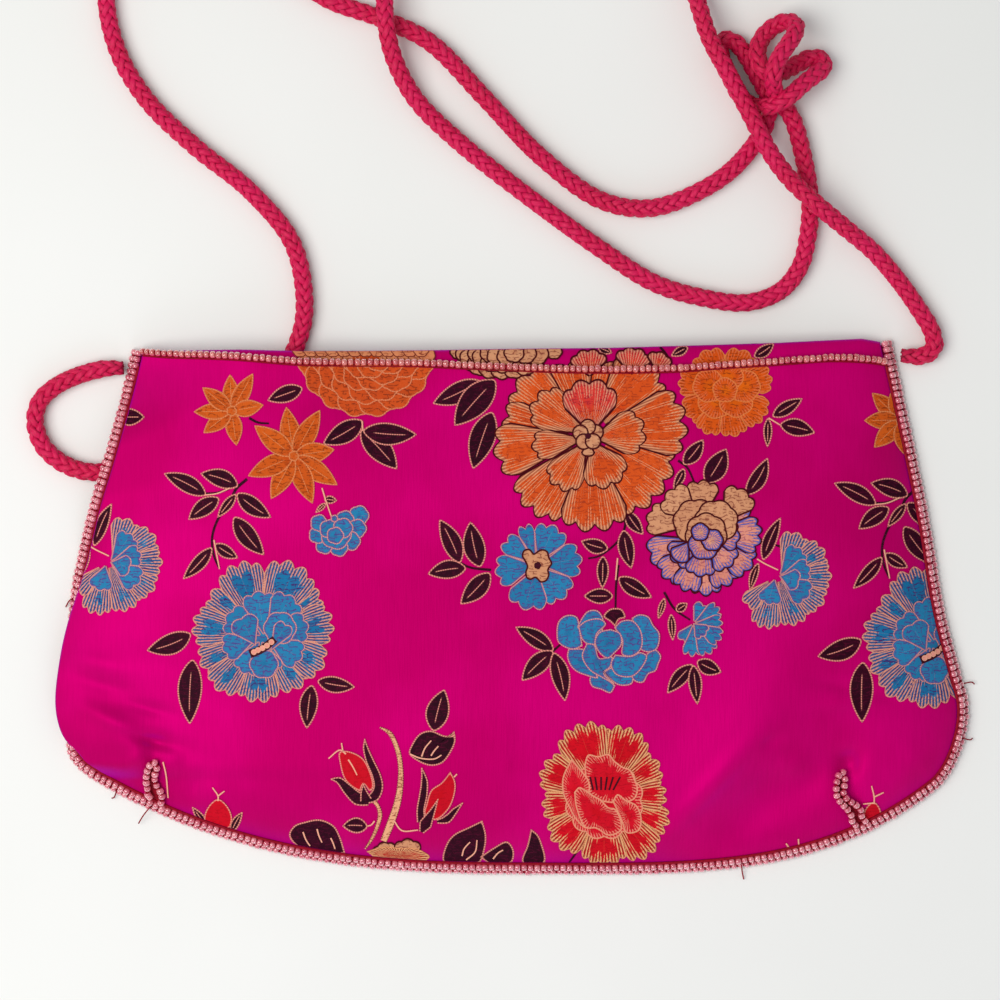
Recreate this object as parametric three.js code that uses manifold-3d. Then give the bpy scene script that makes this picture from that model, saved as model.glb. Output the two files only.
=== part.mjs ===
// An embroidered silk evening purse, lying on its back with its braided cord loose around it.
// Millimetres. +X is the purse's right side, +Y its mouth, +Z up from the table.
// The front and back are separate walls of cloth round a hollow that is open at the mouth.
import * as THREE from "three";
import { mergeVertices } from "three/addons/utils/BufferGeometryUtils.js";
import Module from "manifold-3d";

const wasm = await Module();
wasm.setup();

// Driving sizes of the purse
const PURSE_WIDTH = 238; // over the outer row of beads, at the widest place
const PURSE_HEIGHT = 139; // from the lowest bead to the fold at the mouth's right corner
const LEFT_TOP_DROP = 2.4; // how much lower the mouth's left corner lies
const LEFT_CORNER_RISE = 24.9; // rounded bottom corners, above the lowest bead
const RIGHT_CORNER_RISE = 23.6;
const MOUTH_DIP = 5.6; // how far the mouth's bead row sags below the fold
const CLOTH = 1.5; // silk with its padding
const PUFF = 6.5; // how high the front stands over its rim, just inside the seam
const PUFF_REACH = 9; // how far from the seam the front has risen by two thirds
const BELLY = 4.5; // what the middle adds to that
const MOUTH_SLACK = 0.35; // share of the puff that is lost at the mouth
const LIP_DROP = 2; // how far the fold rolls down into the mouth
const LIP_REACH = 0.8; // the fold at the mouth's two corners, past the bead row
const BACK_LIP_SETBACK = 1.2; // the back ends this far short of the front's fold

// Beads and cord
const BEAD = 1.9; // across a seed bead
const SEAM_STEP = 1.2; // the front row of the seam sits this far inside the back row
const TUCK = 2.2; // how far the seam is tucked under the bulge of the left side
const DART_RISE = 14.5; // a dart's length up from the seam
const DART_SPACING = 2.9; // between a dart's two strands, centre to centre
const DART_DEPTH = 1.6; // how deep a dart pinches the front
const DART_WIDTH = 3.2; // how wide that pinch is, at each side of its line
const CORD = 5; // across the braid
const TUNNEL_FLAT = 5.5; // half the width of the back's arch over the cord, at its top
const TUNNEL_SLOPE = 18; // and how far each side takes to come down to the table

// Gaps and fineness
const GAP = 0.3; // between two pieces that touch
const DART_GAP = 0.75; // between a dart's beads and the pinched cloth
const CORD_GAP = 0.5; // between two turns of cord that cross
const TABLE_GAP = 0.1; // under the lowest bead row
const BEAD_SIDES = 8;
const CORD_SIDES = 8;
const FRONT_COLUMNS = 28;
const FRONT_ROWS = 20;
const ROW_POWER = 1.35; // rows stand closer towards the bottom edge
const LIP_ROWS = 3;
const BACK_COLUMNS = 26;
const BACK_ROWS = 17;
const SEAM_STEPS = 72;
const MOUTH_STEPS = 40;
const DART_STEPS = 14;

// The sides' outline: up is the share of the way from the bottom corner to the mouth's corner,
// left and right are distances from the middle line as shares of half the width.
const SIDE_SECTIONS = [
  { up: 0.0, left: 0.912, right: 0.94 },
  { up: 0.03, left: 0.95, right: 0.962 },
  { up: 0.08, left: 0.981, right: 0.984 },
  { up: 0.14, left: 0.996, right: 0.998 },
  { up: 0.19, left: 1.0, right: 0.998 },
  { up: 0.25, left: 0.995, right: 0.982 },
  { up: 0.4, left: 0.975, right: 0.945 },
  { up: 0.6, left: 0.929, right: 0.913 },
  { up: 0.8, left: 0.874, right: 0.873 },
  { up: 1.0, left: 0.83, right: 0.83 },
];

// Soft folds of the front: across and up place the middle as shares of half the width and half
// the height, turn is in degrees from +X, and length, width and height are shares of half the
// width, of half the height and of the puff. A negative height is a hollow.
const FOLDS = [
  { name: "left upper wrinkle", across: -0.82, up: -0.2, turn: -12, length: 0.17, width: 0.07, height: 0.13 },
  { name: "left middle hollow", across: -0.84, up: -0.36, turn: -16, length: 0.16, width: 0.06, height: -0.13 },
  { name: "left lower wrinkle", across: -0.8, up: -0.5, turn: -24, length: 0.15, width: 0.06, height: 0.12 },
  { name: "left dart hollow", across: -0.7, up: -0.55, turn: -35, length: 0.1, width: 0.08, height: -0.2 },
  { name: "right upper crease", across: 0.82, up: -0.27, turn: 4, length: 0.12, width: 0.04, height: 0.1 },
  { name: "right lower crease", across: 0.84, up: -0.36, turn: 2, length: 0.12, width: 0.04, height: -0.1 },
  { name: "broad bright fold", across: 0.52, up: -0.5, turn: 62, length: 0.2, width: 0.16, height: 0.16 },
  { name: "valley under it", across: 0.45, up: -0.8, turn: 35, length: 0.22, width: 0.14, height: -0.2 },
  { name: "right dart hollow", across: 0.66, up: -0.62, turn: 55, length: 0.09, width: 0.07, height: -0.18 },
];

// Darts: foot and head are distances from the middle line as shares of half the width, to the
// right when positive, and rise is a share of the dart's rise.
const DARTS = [
  { name: "left_dart_bead_string", foot: -0.783, head: -0.783, rise: 0.9 },
  { name: "right_dart_bead_string", foot: 0.763, head: 0.726, rise: 1.1 },
];

// The bottom edge is lerp minus sag x (1 - |2u - 1| ^ power), fuller on the right.
const BOTTOM_POWER = { left: 2.7, right: 3.8 };

// The braided cord, as it lies: x, y and layer, where layer 0 is on the table and each whole
// layer more is one thickness of cord higher. The three runs are one cord.
const LONG_RUN = [
  [-100.8, 62.2, 0], [-106.0, 61.9, 0], [-113.2, 59.9, 0], [-118.8, 57.0, 0], [-122.4, 53.4, 0],
  [-123.6, 48.2, 0], [-121.7, 42.2, 0], [-117.2, 37.9, 0], [-111.5, 35.5, 0], [-105.0, 35.2, 0],
  [-96.0, 37.1, 0], [-86.0, 41.1, 0], [-75.8, 46.8, 0], [-66.7, 53.4, 0], [-60.0, 60.3, 0],
  [-56.0, 67.5, 0], [-53.7, 77.0, 0], [-56.6, 94.0, 0], [-67.5, 107.7, 0], [-82.3, 119.7, 0],
  [-94.8, 131.9, 0], [-102.4, 145.0, 0], [-105.2, 160.0, 0], [-102.2, 174.0, 0], [-94.0, 182.3, 0],
  [-82.5, 183.9, 0], [-70.5, 178.5, 0], [-58.5, 166.0, 0], [-48.0, 157.9, 0], [-34.5, 153.0, 0],
  [-21.4, 146.8, 0], [-7.2, 132.4, 0], [7.5, 117.0, 0], [23.3, 105.6, 0], [36.0, 103.6, 0],
  [49.3, 108.3, 0], [58.0, 114.4, 0], [65.2, 123.6, 0],
];
const KNOT = [
  [66.2, 126.6, 0], [67.4, 130.5, 0], [66.9, 134.5, 0], [64.4, 139.0, 0], [61.9, 143.0, 0],
  [59.0, 147.0, 0], [55.0, 148.9, 0], [52.2, 147.0, 0], [52.4, 142.8, 0], [55.0, 137.6, 0],
  [57.4, 133.2, 0], [61.0, 130.2, 0.1], [64.6, 128.3, 0.4], [68.8, 128.6, 1.0], [73.4, 131.6, 1.1], [77.8, 135.3, 0.7],
  [81.2, 138.3, 0.2], [83.0, 141.6, 0], [80.2, 144.4, 0], [76.0, 143.2, 0.1], [72.5, 140.5, 0.5],
  [68.8, 138.3, 1.0], [65.6, 140.2, 1.05], [64.3, 144.4, 0.7], [65.6, 149.4, 0.3], [69.6, 153.0, 0.2],
  [74.2, 154.0, 0.6], [76.4, 151.2, 1.1], [75.0, 146.9, 1.7], [71.9, 142.4, 2.1], [69.2, 137.9, 2.1],
  [69.6, 133.6, 1.2], [71.6, 130.6, 0.1], [73.0, 127.6, 0],
];
const SHORT_RUN = [
  [73.6, 124.9, 0], [75.3, 118.6, 0], [76.8, 111.1, 0], [77.5, 104.0, 0], [76.8, 96.0, 0],
  [74.8, 88.4, 0], [69.8, 82.2, 0], [61.0, 79.1, 0], [49.0, 80.5, 0], [37.0, 84.2, 0],
  [22.5, 93.4, 0], [3.5, 107.2, 0], [-14.4, 121.4, 0], [-25.0, 132.0, 0.1], [-30.6, 142.6, 0.65],
  [-32.6, 152.6, 1.05], [-32.4, 162.6, 0.65], [-29.6, 174.0, 0.1], [-22.0, 184.6, 0], [-9.5, 192.2, 0],
  [7.4, 195.2, 0], [25.0, 192.0, 0], [39.0, 182.4, 0], [45.9, 169.6, 0.2], [50.0, 156.0, 0.7],
  [54.2, 143.4, 1.1], [57.6, 136.4, 1.25], [62.4, 126.6, 1.25], [68.6, 117.4, 1.05], [73.9, 110.8, 1.0],
  [79.7, 104.9, 1.0], [86.9, 98.5, 0.5], [94.0, 92.1, 0.1], [100.6, 84.5, 0], [105.6, 77.4, 0],
  [109.0, 71.6, 0], [109.6, 67.4, 0], [106.4, 65.2, 0], [101.2, 65.4, 0],
];
// The cord's points that lie under the purse, which the back arches over.
const UNDER_PURSE = { first: 8, last: 16 };
const LONG_STEPS = 44;
const SHORT_STEPS = 42;
const KNOT_STEPS = 54;

const COLOURS = {
  satin: 0xc0006a,
  bead: 0xe0707f,
  cord: 0xd5145a,
};

// What follows from the sizes
const HALF_WIDTH = (PURSE_WIDTH - BEAD) / 2; // to the centre of the outer bead row
const TOP_LEFT = PURSE_HEIGHT / 2 - LIP_REACH - LEFT_TOP_DROP;
const TOP_RIGHT = PURSE_HEIGHT / 2 - LIP_REACH;
const BOTTOM = -PURSE_HEIGHT / 2 + BEAD / 2;
const CORNER_LEFT = -PURSE_HEIGHT / 2 + LEFT_CORNER_RISE;
const CORNER_RIGHT = -PURSE_HEIGHT / 2 + RIGHT_CORNER_RISE;
const BACK_ROW_HEIGHT = BEAD / 2 + TABLE_GAP;
const FRONT_ROW_HEIGHT = BACK_ROW_HEIGHT + Math.sqrt((BEAD + GAP) ** 2 - SEAM_STEP ** 2);
const BACK_INSET = BEAD / 2 + GAP;
const FRONT_INSET = SEAM_STEP + BEAD / 2 + GAP;
const RIM_TOP = 2 * CLOTH + GAP;
const COVER_RISE = FRONT_ROW_HEIGHT + BEAD / 2 + GAP - (RIM_TOP - CLOTH);
const TUNNEL_HEIGHT = CORD + GAP;

const clamp = (x) => Math.min(1, Math.max(0, x));
const smooth = (x) => clamp(x) ** 2 * (3 - 2 * clamp(x));
const lerp = (a, b, t) => a + (b - a) * t;

// A smooth value through one column of the side sections: cubic Hermite, with each slope taken
// between the two neighbouring rows.
function sectionValue(column, up) {
  const rows = SIDE_SECTIONS;
  const t = clamp(up);
  let i = 0;
  while (i < rows.length - 2 && t > rows[i + 1].up) i++;
  const slope = (k) => {
    const a = rows[Math.max(0, k - 1)];
    const b = rows[Math.min(rows.length - 1, k + 1)];
    return (b[column] - a[column]) / (b.up - a.up);
  };
  const span = rows[i + 1].up - rows[i].up;
  const s = (t - rows[i].up) / span;
  return (
    (1 + 2 * s) * (1 - s) ** 2 * rows[i][column] +
    s * (1 - s) ** 2 * span * slope(i) +
    s * s * (3 - 2 * s) * rows[i + 1][column] +
    s * s * (s - 1) * span * slope(i + 1)
  );
}

// How far the left side's bulge has come out over the seam, 0 to 1, at a share of the side.
const COVER_PEAK = 0.2;
const cover = (up) => (clamp(up) / COVER_PEAK) * Math.exp(1 - clamp(up) / COVER_PEAK);
const coverRise = (up) => smooth(2 * cover(up));
const coverSpread = (up) => smooth(2 * cover(up) - 1);

// The sewn outline as one path, from the mouth's left corner down the left side (0 to 1), along
// the bottom (1 to 2) and up the right side (2 to 3), to the mouth's right corner.
function outlinePoint(s) {
  if (s < 1) return [-HALF_WIDTH * sectionValue("left", 1 - s), lerp(TOP_LEFT, CORNER_LEFT, s)];
  if (s > 2) return [HALF_WIDTH * sectionValue("right", s - 2), lerp(CORNER_RIGHT, TOP_RIGHT, s - 2)];
  const u = s - 1;
  const sag = (CORNER_LEFT + CORNER_RIGHT) / 2 - BOTTOM;
  const [a, b] = [-HALF_WIDTH * sectionValue("left", 0), HALF_WIDTH * sectionValue("right", 0)];
  const power = u < 0.5 ? BOTTOM_POWER.left : BOTTOM_POWER.right;
  return [lerp(a, b, u), lerp(CORNER_LEFT, CORNER_RIGHT, u) - sag * (1 - Math.abs(2 * u - 1) ** power)];
}

// The same path, moved in square to itself.
const NORMAL_STEP = 0.02;
function insetPoint(s, inset) {
  const [x, y] = outlinePoint(s);
  const [ax, ay] = outlinePoint(Math.max(0, s - NORMAL_STEP));
  const [bx, by] = outlinePoint(Math.min(3, s + NORMAL_STEP));
  const length = Math.hypot(bx - ax, by - ay);
  return [x - (inset * (by - ay)) / length, y + (inset * (bx - ax)) / length];
}
const leftSide = (up, inset) => insetPoint(1 - up, inset);
const bottomEdge = (u, inset) => insetPoint(1 + u, inset);
const rightSide = (up, inset) => insetPoint(2 + up, inset);

// The bead row below the mouth's fold.
const mouthSag = (u) => MOUTH_DIP * Math.sin(Math.PI * clamp(u) ** 1.35) ** 0.6;
function mouthRow(u, inset) {
  const a = leftSide(1, inset);
  const b = rightSide(1, inset);
  return [lerp(a[0], b[0], u), lerp(a[1], b[1], u) - mouthSag(u)];
}

// A Coons patch between four edges: u runs left to right, v from the bottom to the mouth.
function patch(u, v, left, right, bottom, top) {
  const [l, r, b, t] = [left(v), right(v), bottom(u), top(u)];
  const [l0, l1, r0, r1] = [left(0), left(1), right(0), right(1)];
  return [0, 1].map(
    (k) =>
      lerp(b[k], t[k], v) + lerp(l[k], r[k], u) - lerp(lerp(l0[k], r0[k], u), lerp(l1[k], r1[k], u), v),
  );
}

// Distance in plan to a chain of points.
function distanceTo(chain, x, y) {
  let least = Infinity;
  for (let i = 1; i < chain.length; i++) {
    const [ax, ay] = chain[i - 1];
    const [dx, dy] = [chain[i][0] - ax, chain[i][1] - ay];
    const t = clamp(((x - ax) * dx + (y - ay) * dy) / (dx * dx + dy * dy));
    least = Math.min(least, Math.hypot(x - ax - t * dx, y - ay - t * dy));
  }
  return least;
}

const shares = (count) => Array.from({ length: count + 1 }, (_, i) => i / count);
const OUTLINE = shares(150).map((t) => outlinePoint(3 * t));
const TUNNEL = LONG_RUN.slice(UNDER_PURSE.first, UNDER_PURSE.last + 1);

// How far the cord under the purse lifts what lies on it.
function lift(x, y) {
  return TUNNEL_HEIGHT * (1 - smooth((distanceTo(TUNNEL, x, y) - TUNNEL_FLAT) / TUNNEL_SLOPE));
}

function foldHeight(x, y) {
  let sum = 0;
  for (const f of FOLDS) {
    const turn = THREE.MathUtils.degToRad(f.turn);
    const dx = x - (f.across * PURSE_WIDTH) / 2;
    const dy = y - (f.up * PURSE_HEIGHT) / 2;
    const along = (dx * Math.cos(turn) + dy * Math.sin(turn)) / ((f.length * PURSE_WIDTH) / 2);
    const aside = (dy * Math.cos(turn) - dx * Math.sin(turn)) / ((f.width * PURSE_HEIGHT) / 2);
    sum += f.height * PUFF * Math.exp(-along * along - aside * aside);
  }
  return sum;
}

// A dart's foot on the seam and its head, in plan.
function dartLine(dart) {
  const reach = rightSide(0, FRONT_INSET)[0] - leftSide(0, FRONT_INSET)[0];
  const x = dart.foot * HALF_WIDTH;
  const foot = bottomEdge((x - leftSide(0, FRONT_INSET)[0]) / reach, FRONT_INSET);
  return [foot, [dart.head * HALF_WIDTH, foot[1] + dart.rise * DART_RISE]];
}

function dartPinch(x, y) {
  let sum = 0;
  for (const dart of DARTS)
    sum += DART_DEPTH * Math.exp(-((distanceTo(dartLine(dart), x, y) / DART_WIDTH) ** 2));
  return sum;
}

// The front's outer surface over the plan.
function frontHeight(x, y) {
  const up = x < 0 ? (y - CORNER_LEFT) / (TOP_LEFT - CORNER_LEFT) : -1;
  const inset = FRONT_INSET * (1 - coverSpread(up));
  const away = Math.max(0, distanceTo(OUTLINE, x, y) - inset);
  const fade = Math.exp(-away / PUFF_REACH);
  const puff = 1 - fade;
  const slack = 1 - MOUTH_SLACK * smooth((y / PURSE_HEIGHT - 0.2) / 0.25);
  const belly = Math.cos((Math.PI * x) / PURSE_WIDTH) * Math.cos((Math.PI * (y + 8)) / (1.3 * PURSE_HEIGHT));
  const soft = puff * (PUFF * slack + BELLY * belly + foldHeight(x, y)) - Math.sqrt(puff) * dartPinch(x, y);
  return RIM_TOP + COVER_RISE * coverRise(up) * fade + lift(x, y) * (1 - 0.65 * puff) + soft;
}

// Where the front's columns of points stand: evenly, and closer across each dart.
function frontColumns() {
  const [from, to] = [leftSide(0, FRONT_INSET)[0], rightSide(0, FRONT_INSET)[0]];
  const near = DARTS.flatMap((dart) =>
    [-3, -2, -1, 0, 1, 2, 3].map((k) => {
      const middle = ((dart.foot + dart.head) / 2) * HALF_WIDTH;
      return (middle + (k * DART_WIDTH) / 2.2 - from) / (to - from);
    }),
  );
  const room = DART_WIDTH / 2.5 / (to - from);
  const even = shares(FRONT_COLUMNS).filter((u) => near.every((w) => Math.abs(u - w) > room));
  return [...even, ...near].sort((a, b) => a - b);
}

// A closed wall from two grids of points, outer above inner, given as rows of [x, y, z].
function wallGeometry(outer, inner) {
  const rows = outer.length;
  const columns = outer[0].length;
  const positions = [...outer, ...inner].flat(2);
  const at = (side, r, c) => (side * rows + r) * columns + c;
  const faces = [];
  const quad = (a, b, c, d) => faces.push(a, b, c, a, c, d);
  for (let r = 0; r < rows - 1; r++)
    for (let c = 0; c < columns - 1; c++) {
      quad(at(0, r, c), at(0, r, c + 1), at(0, r + 1, c + 1), at(0, r + 1, c));
      quad(at(1, r, c), at(1, r + 1, c), at(1, r + 1, c + 1), at(1, r, c + 1));
    }
  for (let c = 0; c < columns - 1; c++) {
    quad(at(0, 0, c), at(1, 0, c), at(1, 0, c + 1), at(0, 0, c + 1));
    quad(at(0, rows - 1, c), at(0, rows - 1, c + 1), at(1, rows - 1, c + 1), at(1, rows - 1, c));
  }
  for (let r = 0; r < rows - 1; r++) {
    quad(at(0, r, 0), at(0, r + 1, 0), at(1, r + 1, 0), at(1, r, 0));
    quad(at(0, r, columns - 1), at(1, r, columns - 1), at(1, r + 1, columns - 1), at(0, r + 1, columns - 1));
  }
  const geometry = new THREE.BufferGeometry();
  geometry.setAttribute("position", new THREE.Float32BufferAttribute(positions, 3));
  geometry.setIndex(faces);
  geometry.computeVertexNormals();
  return geometry;
}

// A round bar of a few sides along a smooth curve through points.
function barGeometry(points, across, sides, steps) {
  const curve = new THREE.CatmullRomCurve3(points.map((p) => new THREE.Vector3(...p)), false, "centripetal");
  const ring = shares(sides)
    .slice(0, sides)
    .map((t) => new THREE.Vector2(Math.cos(2 * Math.PI * t), Math.sin(2 * Math.PI * t)).multiplyScalar(across / 2));
  return new THREE.ExtrudeGeometry(new THREE.Shape(ring), { steps, extrudePath: curve, bevelEnabled: false });
}

// Positions alone, with shared corners merged.
function bareGeometry(geometry) {
  const bare = new THREE.BufferGeometry();
  bare.setAttribute("position", geometry.getAttribute("position"));
  if (geometry.index) bare.setIndex(geometry.index);
  return mergeVertices(bare, 1e-4);
}

function solidOf(geometry) {
  const merged = bareGeometry(geometry);
  return new wasm.Manifold(
    new wasm.Mesh({
      numProp: 3,
      vertProperties: new Float32Array(merged.attributes.position.array),
      triVerts: new Uint32Array(merged.index.array),
    }),
  );
}

function geometryOf(solid) {
  const mesh = solid.getMesh();
  const geometry = new THREE.BufferGeometry();
  geometry.setAttribute("position", new THREE.BufferAttribute(new Float32Array(mesh.vertProperties), 3));
  geometry.setIndex(new THREE.BufferAttribute(new Uint32Array(mesh.triVerts), 1));
  geometry.computeVertexNormals();
  return geometry;
}

// The front: a puffed wall from the seam to the mouth's bead row, then the fold that rolls down.
function frontPanel() {
  const left = (v) => leftSide(v, FRONT_INSET * (1 - coverSpread(v)));
  const right = (v) => rightSide(v, FRONT_INSET);
  const bottom = (u) => bottomEdge(u, FRONT_INSET);
  const top = (u) => mouthRow(u, FRONT_INSET);
  const columns = frontColumns();
  const outer = [];
  const inner = [];
  for (const v of shares(FRONT_ROWS).map((t) => t ** ROW_POWER)) {
    const row = columns.map((u) => {
      const [x, y] = patch(u, v, left, right, bottom, top);
      return [x, y, frontHeight(x, y)];
    });
    outer.push(row);
    inner.push(row.map(([x, y, z]) => [x, y, z - CLOTH]));
  }
  for (const turn of shares(LIP_ROWS).slice(1)) {
    const [reach, roll] = [Math.sin((turn * Math.PI) / 2), 1 - Math.cos((turn * Math.PI) / 2)];
    const [outerRow, innerRow] = [[], []];
    for (const u of columns) {
      const [x, y] = top(u);
      const z = frontHeight(x, y);
      const band = mouthSag(u) + LIP_REACH;
      const drop = lerp(CLOTH, LIP_DROP, mouthSag(u) / MOUTH_DIP);
      const innerBand = Math.max(band - CLOTH, 0.15 * band);
      outerRow.push([x, y + band * reach, z - drop * roll]);
      innerRow.push([x, y + innerBand * reach, z - CLOTH - (drop - CLOTH) * roll]);
    }
    outer.push(outerRow);
    inner.push(innerRow);
  }
  return wallGeometry(outer, inner);
}

// The back: a flat wall on the table, arched over the cord.
function backPanel() {
  const left = (v) => leftSide(v, BACK_INSET + TUCK * coverRise(v));
  const right = (v) => rightSide(v, BACK_INSET);
  const bottom = (u) => bottomEdge(u, BACK_INSET);
  const top = (u) => {
    const [x, y] = mouthRow(u, BACK_INSET);
    return [x, y + (mouthSag(u) + LIP_REACH - BACK_LIP_SETBACK)];
  };
  const under = shares(BACK_ROWS).map((t) =>
    shares(BACK_COLUMNS).map((u) => {
      const [x, y] = patch(u, t ** ROW_POWER, left, right, bottom, top);
      return [x, y, lift(x, y)];
    }),
  );
  return wallGeometry(under.map((row) => row.map(([x, y, z]) => [x, y, z + CLOTH])), under);
}

// A row of beads along the seam, down the left side, round the bottom and up the right side.
function seamRow(inset, height) {
  const raise = ([x, y]) => [x, y, height + lift(x, y)];
  const path = shares(75).map((t) => insetPoint(3 * t, inset + TUCK * coverSpread(1 - 3 * t)));
  return barGeometry(path.map(raise), BEAD, BEAD_SIDES, SEAM_STEPS);
}

// The point that stands square over the front by a distance.
function overFront([x, y], distance) {
  const step = 1;
  const slopeX = (frontHeight(x + step, y) - frontHeight(x - step, y)) / (2 * step);
  const slopeY = (frontHeight(x, y + step) - frontHeight(x, y - step)) / (2 * step);
  const share = distance / Math.hypot(slopeX, slopeY, 1);
  return [x - slopeX * share, y - slopeY * share, frontHeight(x, y) + share];
}

// A row of beads that lies on the front, given by its points in plan.
function surfaceRow(points, steps, gap = GAP) {
  const seat = BEAD / 2 + gap;
  return barGeometry(points.map((p) => overFront(p, seat)), BEAD, BEAD_SIDES, steps);
}

// The hairpin of beads up one side of a dart and down the other.
function dartRow(dart) {
  const [foot, head] = dartLine(dart);
  const length = Math.hypot(head[0] - foot[0], head[1] - foot[1]);
  const [ux, uy] = [(head[0] - foot[0]) / length, (head[1] - foot[1]) / length];
  const half = DART_SPACING / 2;
  const strand = (side) =>
    [0.08, 0.3, 0.55, 0.8].map((t) => [
      foot[0] + ux * length * t - uy * half * side,
      foot[1] + uy * length * t + ux * half * side,
    ]);
  return surfaceRow([...strand(1), head, ...strand(-1).reverse()], DART_STEPS, DART_GAP);
}

const cordHeight = (layer) => CORD / 2 + layer * (CORD + CORD_GAP);
const cordPoints = (run) => run.map(([x, y, layer]) => [x, y, cordHeight(layer) + TABLE_GAP]);

// The bow knot turns over itself, so its loops are made one by one and joined.
function knotGeometry() {
  const points = cordPoints(KNOT);
  const cuts = [0, 10, 20, 29, KNOT.length - 1];
  let solid = null;
  for (let i = 1; i < cuts.length; i++) {
    const limb = points.slice(cuts[i - 1], cuts[i] + 1);
    const steps = Math.round((KNOT_STEPS * (limb.length - 1)) / (KNOT.length - 1));
    const piece = solidOf(barGeometry(limb, CORD, CORD_SIDES, steps));
    solid = solid ? solid.add(piece) : piece;
  }
  return geometryOf(solid);
}

const MATERIALS = {
  satin: new THREE.MeshStandardMaterial({ color: COLOURS.satin, roughness: 0.42, metalness: 0, name: "satin" }),
  bead: new THREE.MeshStandardMaterial({ color: COLOURS.bead, roughness: 0.2, metalness: 0, name: "bead" }),
  cord: new THREE.MeshStandardMaterial({ color: COLOURS.cord, roughness: 0.6, metalness: 0, name: "cord" }),
};

const purse = new THREE.Group();
function addPiece(name, geometry, material) {
  const mesh = new THREE.Mesh(geometry, material);
  mesh.name = name;
  purse.add(mesh);
}

addPiece("front_panel", frontPanel(), MATERIALS.satin);
addPiece("back_panel", backPanel(), MATERIALS.satin);
const mouthPoints = shares(24).map((t) => mouthRow(lerp(0.012, 0.988, t), FRONT_INSET));
addPiece("top_bead_string", surfaceRow(mouthPoints, MOUTH_STEPS), MATERIALS.bead);
addPiece("edge_bead_string_front", seamRow(SEAM_STEP, FRONT_ROW_HEIGHT), MATERIALS.bead);
addPiece("edge_bead_string_back", seamRow(0, BACK_ROW_HEIGHT), MATERIALS.bead);
for (const dart of DARTS) addPiece(dart.name, dartRow(dart), MATERIALS.bead);
const longRun = barGeometry(cordPoints(LONG_RUN), CORD, CORD_SIDES, LONG_STEPS);
addPiece("shoulder_cord_long_run", longRun, MATERIALS.cord);
addPiece("strap_bow_knot", knotGeometry(), MATERIALS.cord);
const shortRun = barGeometry(cordPoints(SHORT_RUN), CORD, CORD_SIDES, SHORT_STEPS);
addPiece("shoulder_cord_short_run", shortRun, MATERIALS.cord);

export default purse;
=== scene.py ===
# %% [markdown]
# # A beaded purse of silk brocade
#
# This lesson dresses the plain solids of an embroidered evening purse in Blender. The purse is
# two padded pieces of fuchsia silk satin, sewn together along a row of seed beads, with a long
# braided cord that a bow knot shortens. It lies on its back on a table.
#
# Every shape is worked out with numpy in millimetres and becomes metres in one place, where its
# mesh is made. X runs along the purse, Y up towards its mouth, and Z up from the table.

# %% Load the frame
import math

import bpy
import numpy as np
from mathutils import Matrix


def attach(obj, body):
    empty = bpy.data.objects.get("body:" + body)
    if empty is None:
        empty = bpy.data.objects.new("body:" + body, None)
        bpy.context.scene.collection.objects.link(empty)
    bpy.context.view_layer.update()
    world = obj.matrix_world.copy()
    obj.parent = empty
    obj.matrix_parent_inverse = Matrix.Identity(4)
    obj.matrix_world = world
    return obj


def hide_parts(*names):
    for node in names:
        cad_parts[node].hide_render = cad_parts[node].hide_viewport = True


MM = 0.001
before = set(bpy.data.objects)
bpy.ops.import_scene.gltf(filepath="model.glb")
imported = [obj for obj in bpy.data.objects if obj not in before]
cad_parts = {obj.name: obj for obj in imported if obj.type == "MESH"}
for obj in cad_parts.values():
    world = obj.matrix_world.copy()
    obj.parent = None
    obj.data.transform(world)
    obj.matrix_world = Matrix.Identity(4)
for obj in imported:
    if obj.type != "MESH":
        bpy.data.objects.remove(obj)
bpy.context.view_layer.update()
scene = bpy.context.scene
print("solids in the frame:", sorted(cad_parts))

# %% [markdown]
# ## Camera, table and light
#
# The photograph looks straight down on the purse, so the camera hangs level over it. Its field
# of view is set from two real lengths: the width of table it takes in, and its height over it.
# A high camera keeps the sides from leaning outwards. One broad lamp from the upper left gives
# soft shadows to the right, and a weaker one fills them.

# %% Camera
VIEW_WIDTH = 260.0  # of table that the picture takes in
CAMERA_HEIGHT = 1100.0
VIEW_CENTRE = (-3.0, 27.9)
SENSOR = 36.0
PIXEL = 0.26  # of table, in millimetres, for one pixel of the picture
MIDDLE_COLUMN = 511.5  # the pixel over the frame's origin
MIDDLE_ROW = 607.3


def add_object(name, data):
    """A new object for that data, in the scene."""
    thing = bpy.data.objects.new(name, data)
    scene.collection.objects.link(thing)
    return thing


camera_data = bpy.data.cameras.new("overhead_camera")
camera_data.sensor_width = SENSOR
camera_data.lens = SENSOR * CAMERA_HEIGHT / VIEW_WIDTH
camera_data.clip_start = 0.01
camera = add_object("overhead_camera", camera_data)
camera.location = (VIEW_CENTRE[0] * MM, VIEW_CENTRE[1] * MM, CAMERA_HEIGHT * MM)
scene.camera = camera
print("lens:", round(camera_data.lens, 1), "mm")


# %% Lamps and the air's own light
def add_lamp(name, place, aim, size, power, colour):
    """A square area lamp at place that looks at aim, both in millimetres."""
    data = bpy.data.lights.new(name, "AREA")
    data.shape = "SQUARE"
    data.size = size * MM
    data.energy = power
    data.color = colour
    lamp = add_object(name, data)
    away = np.array(place, float) - np.array(aim, float)
    flat = math.hypot(away[0], away[1])
    lamp.location = [v * MM for v in place]
    lamp.rotation_euler = (math.atan2(flat, away[2]), 0.0, math.atan2(away[0], -away[1]))
    return lamp


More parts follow.
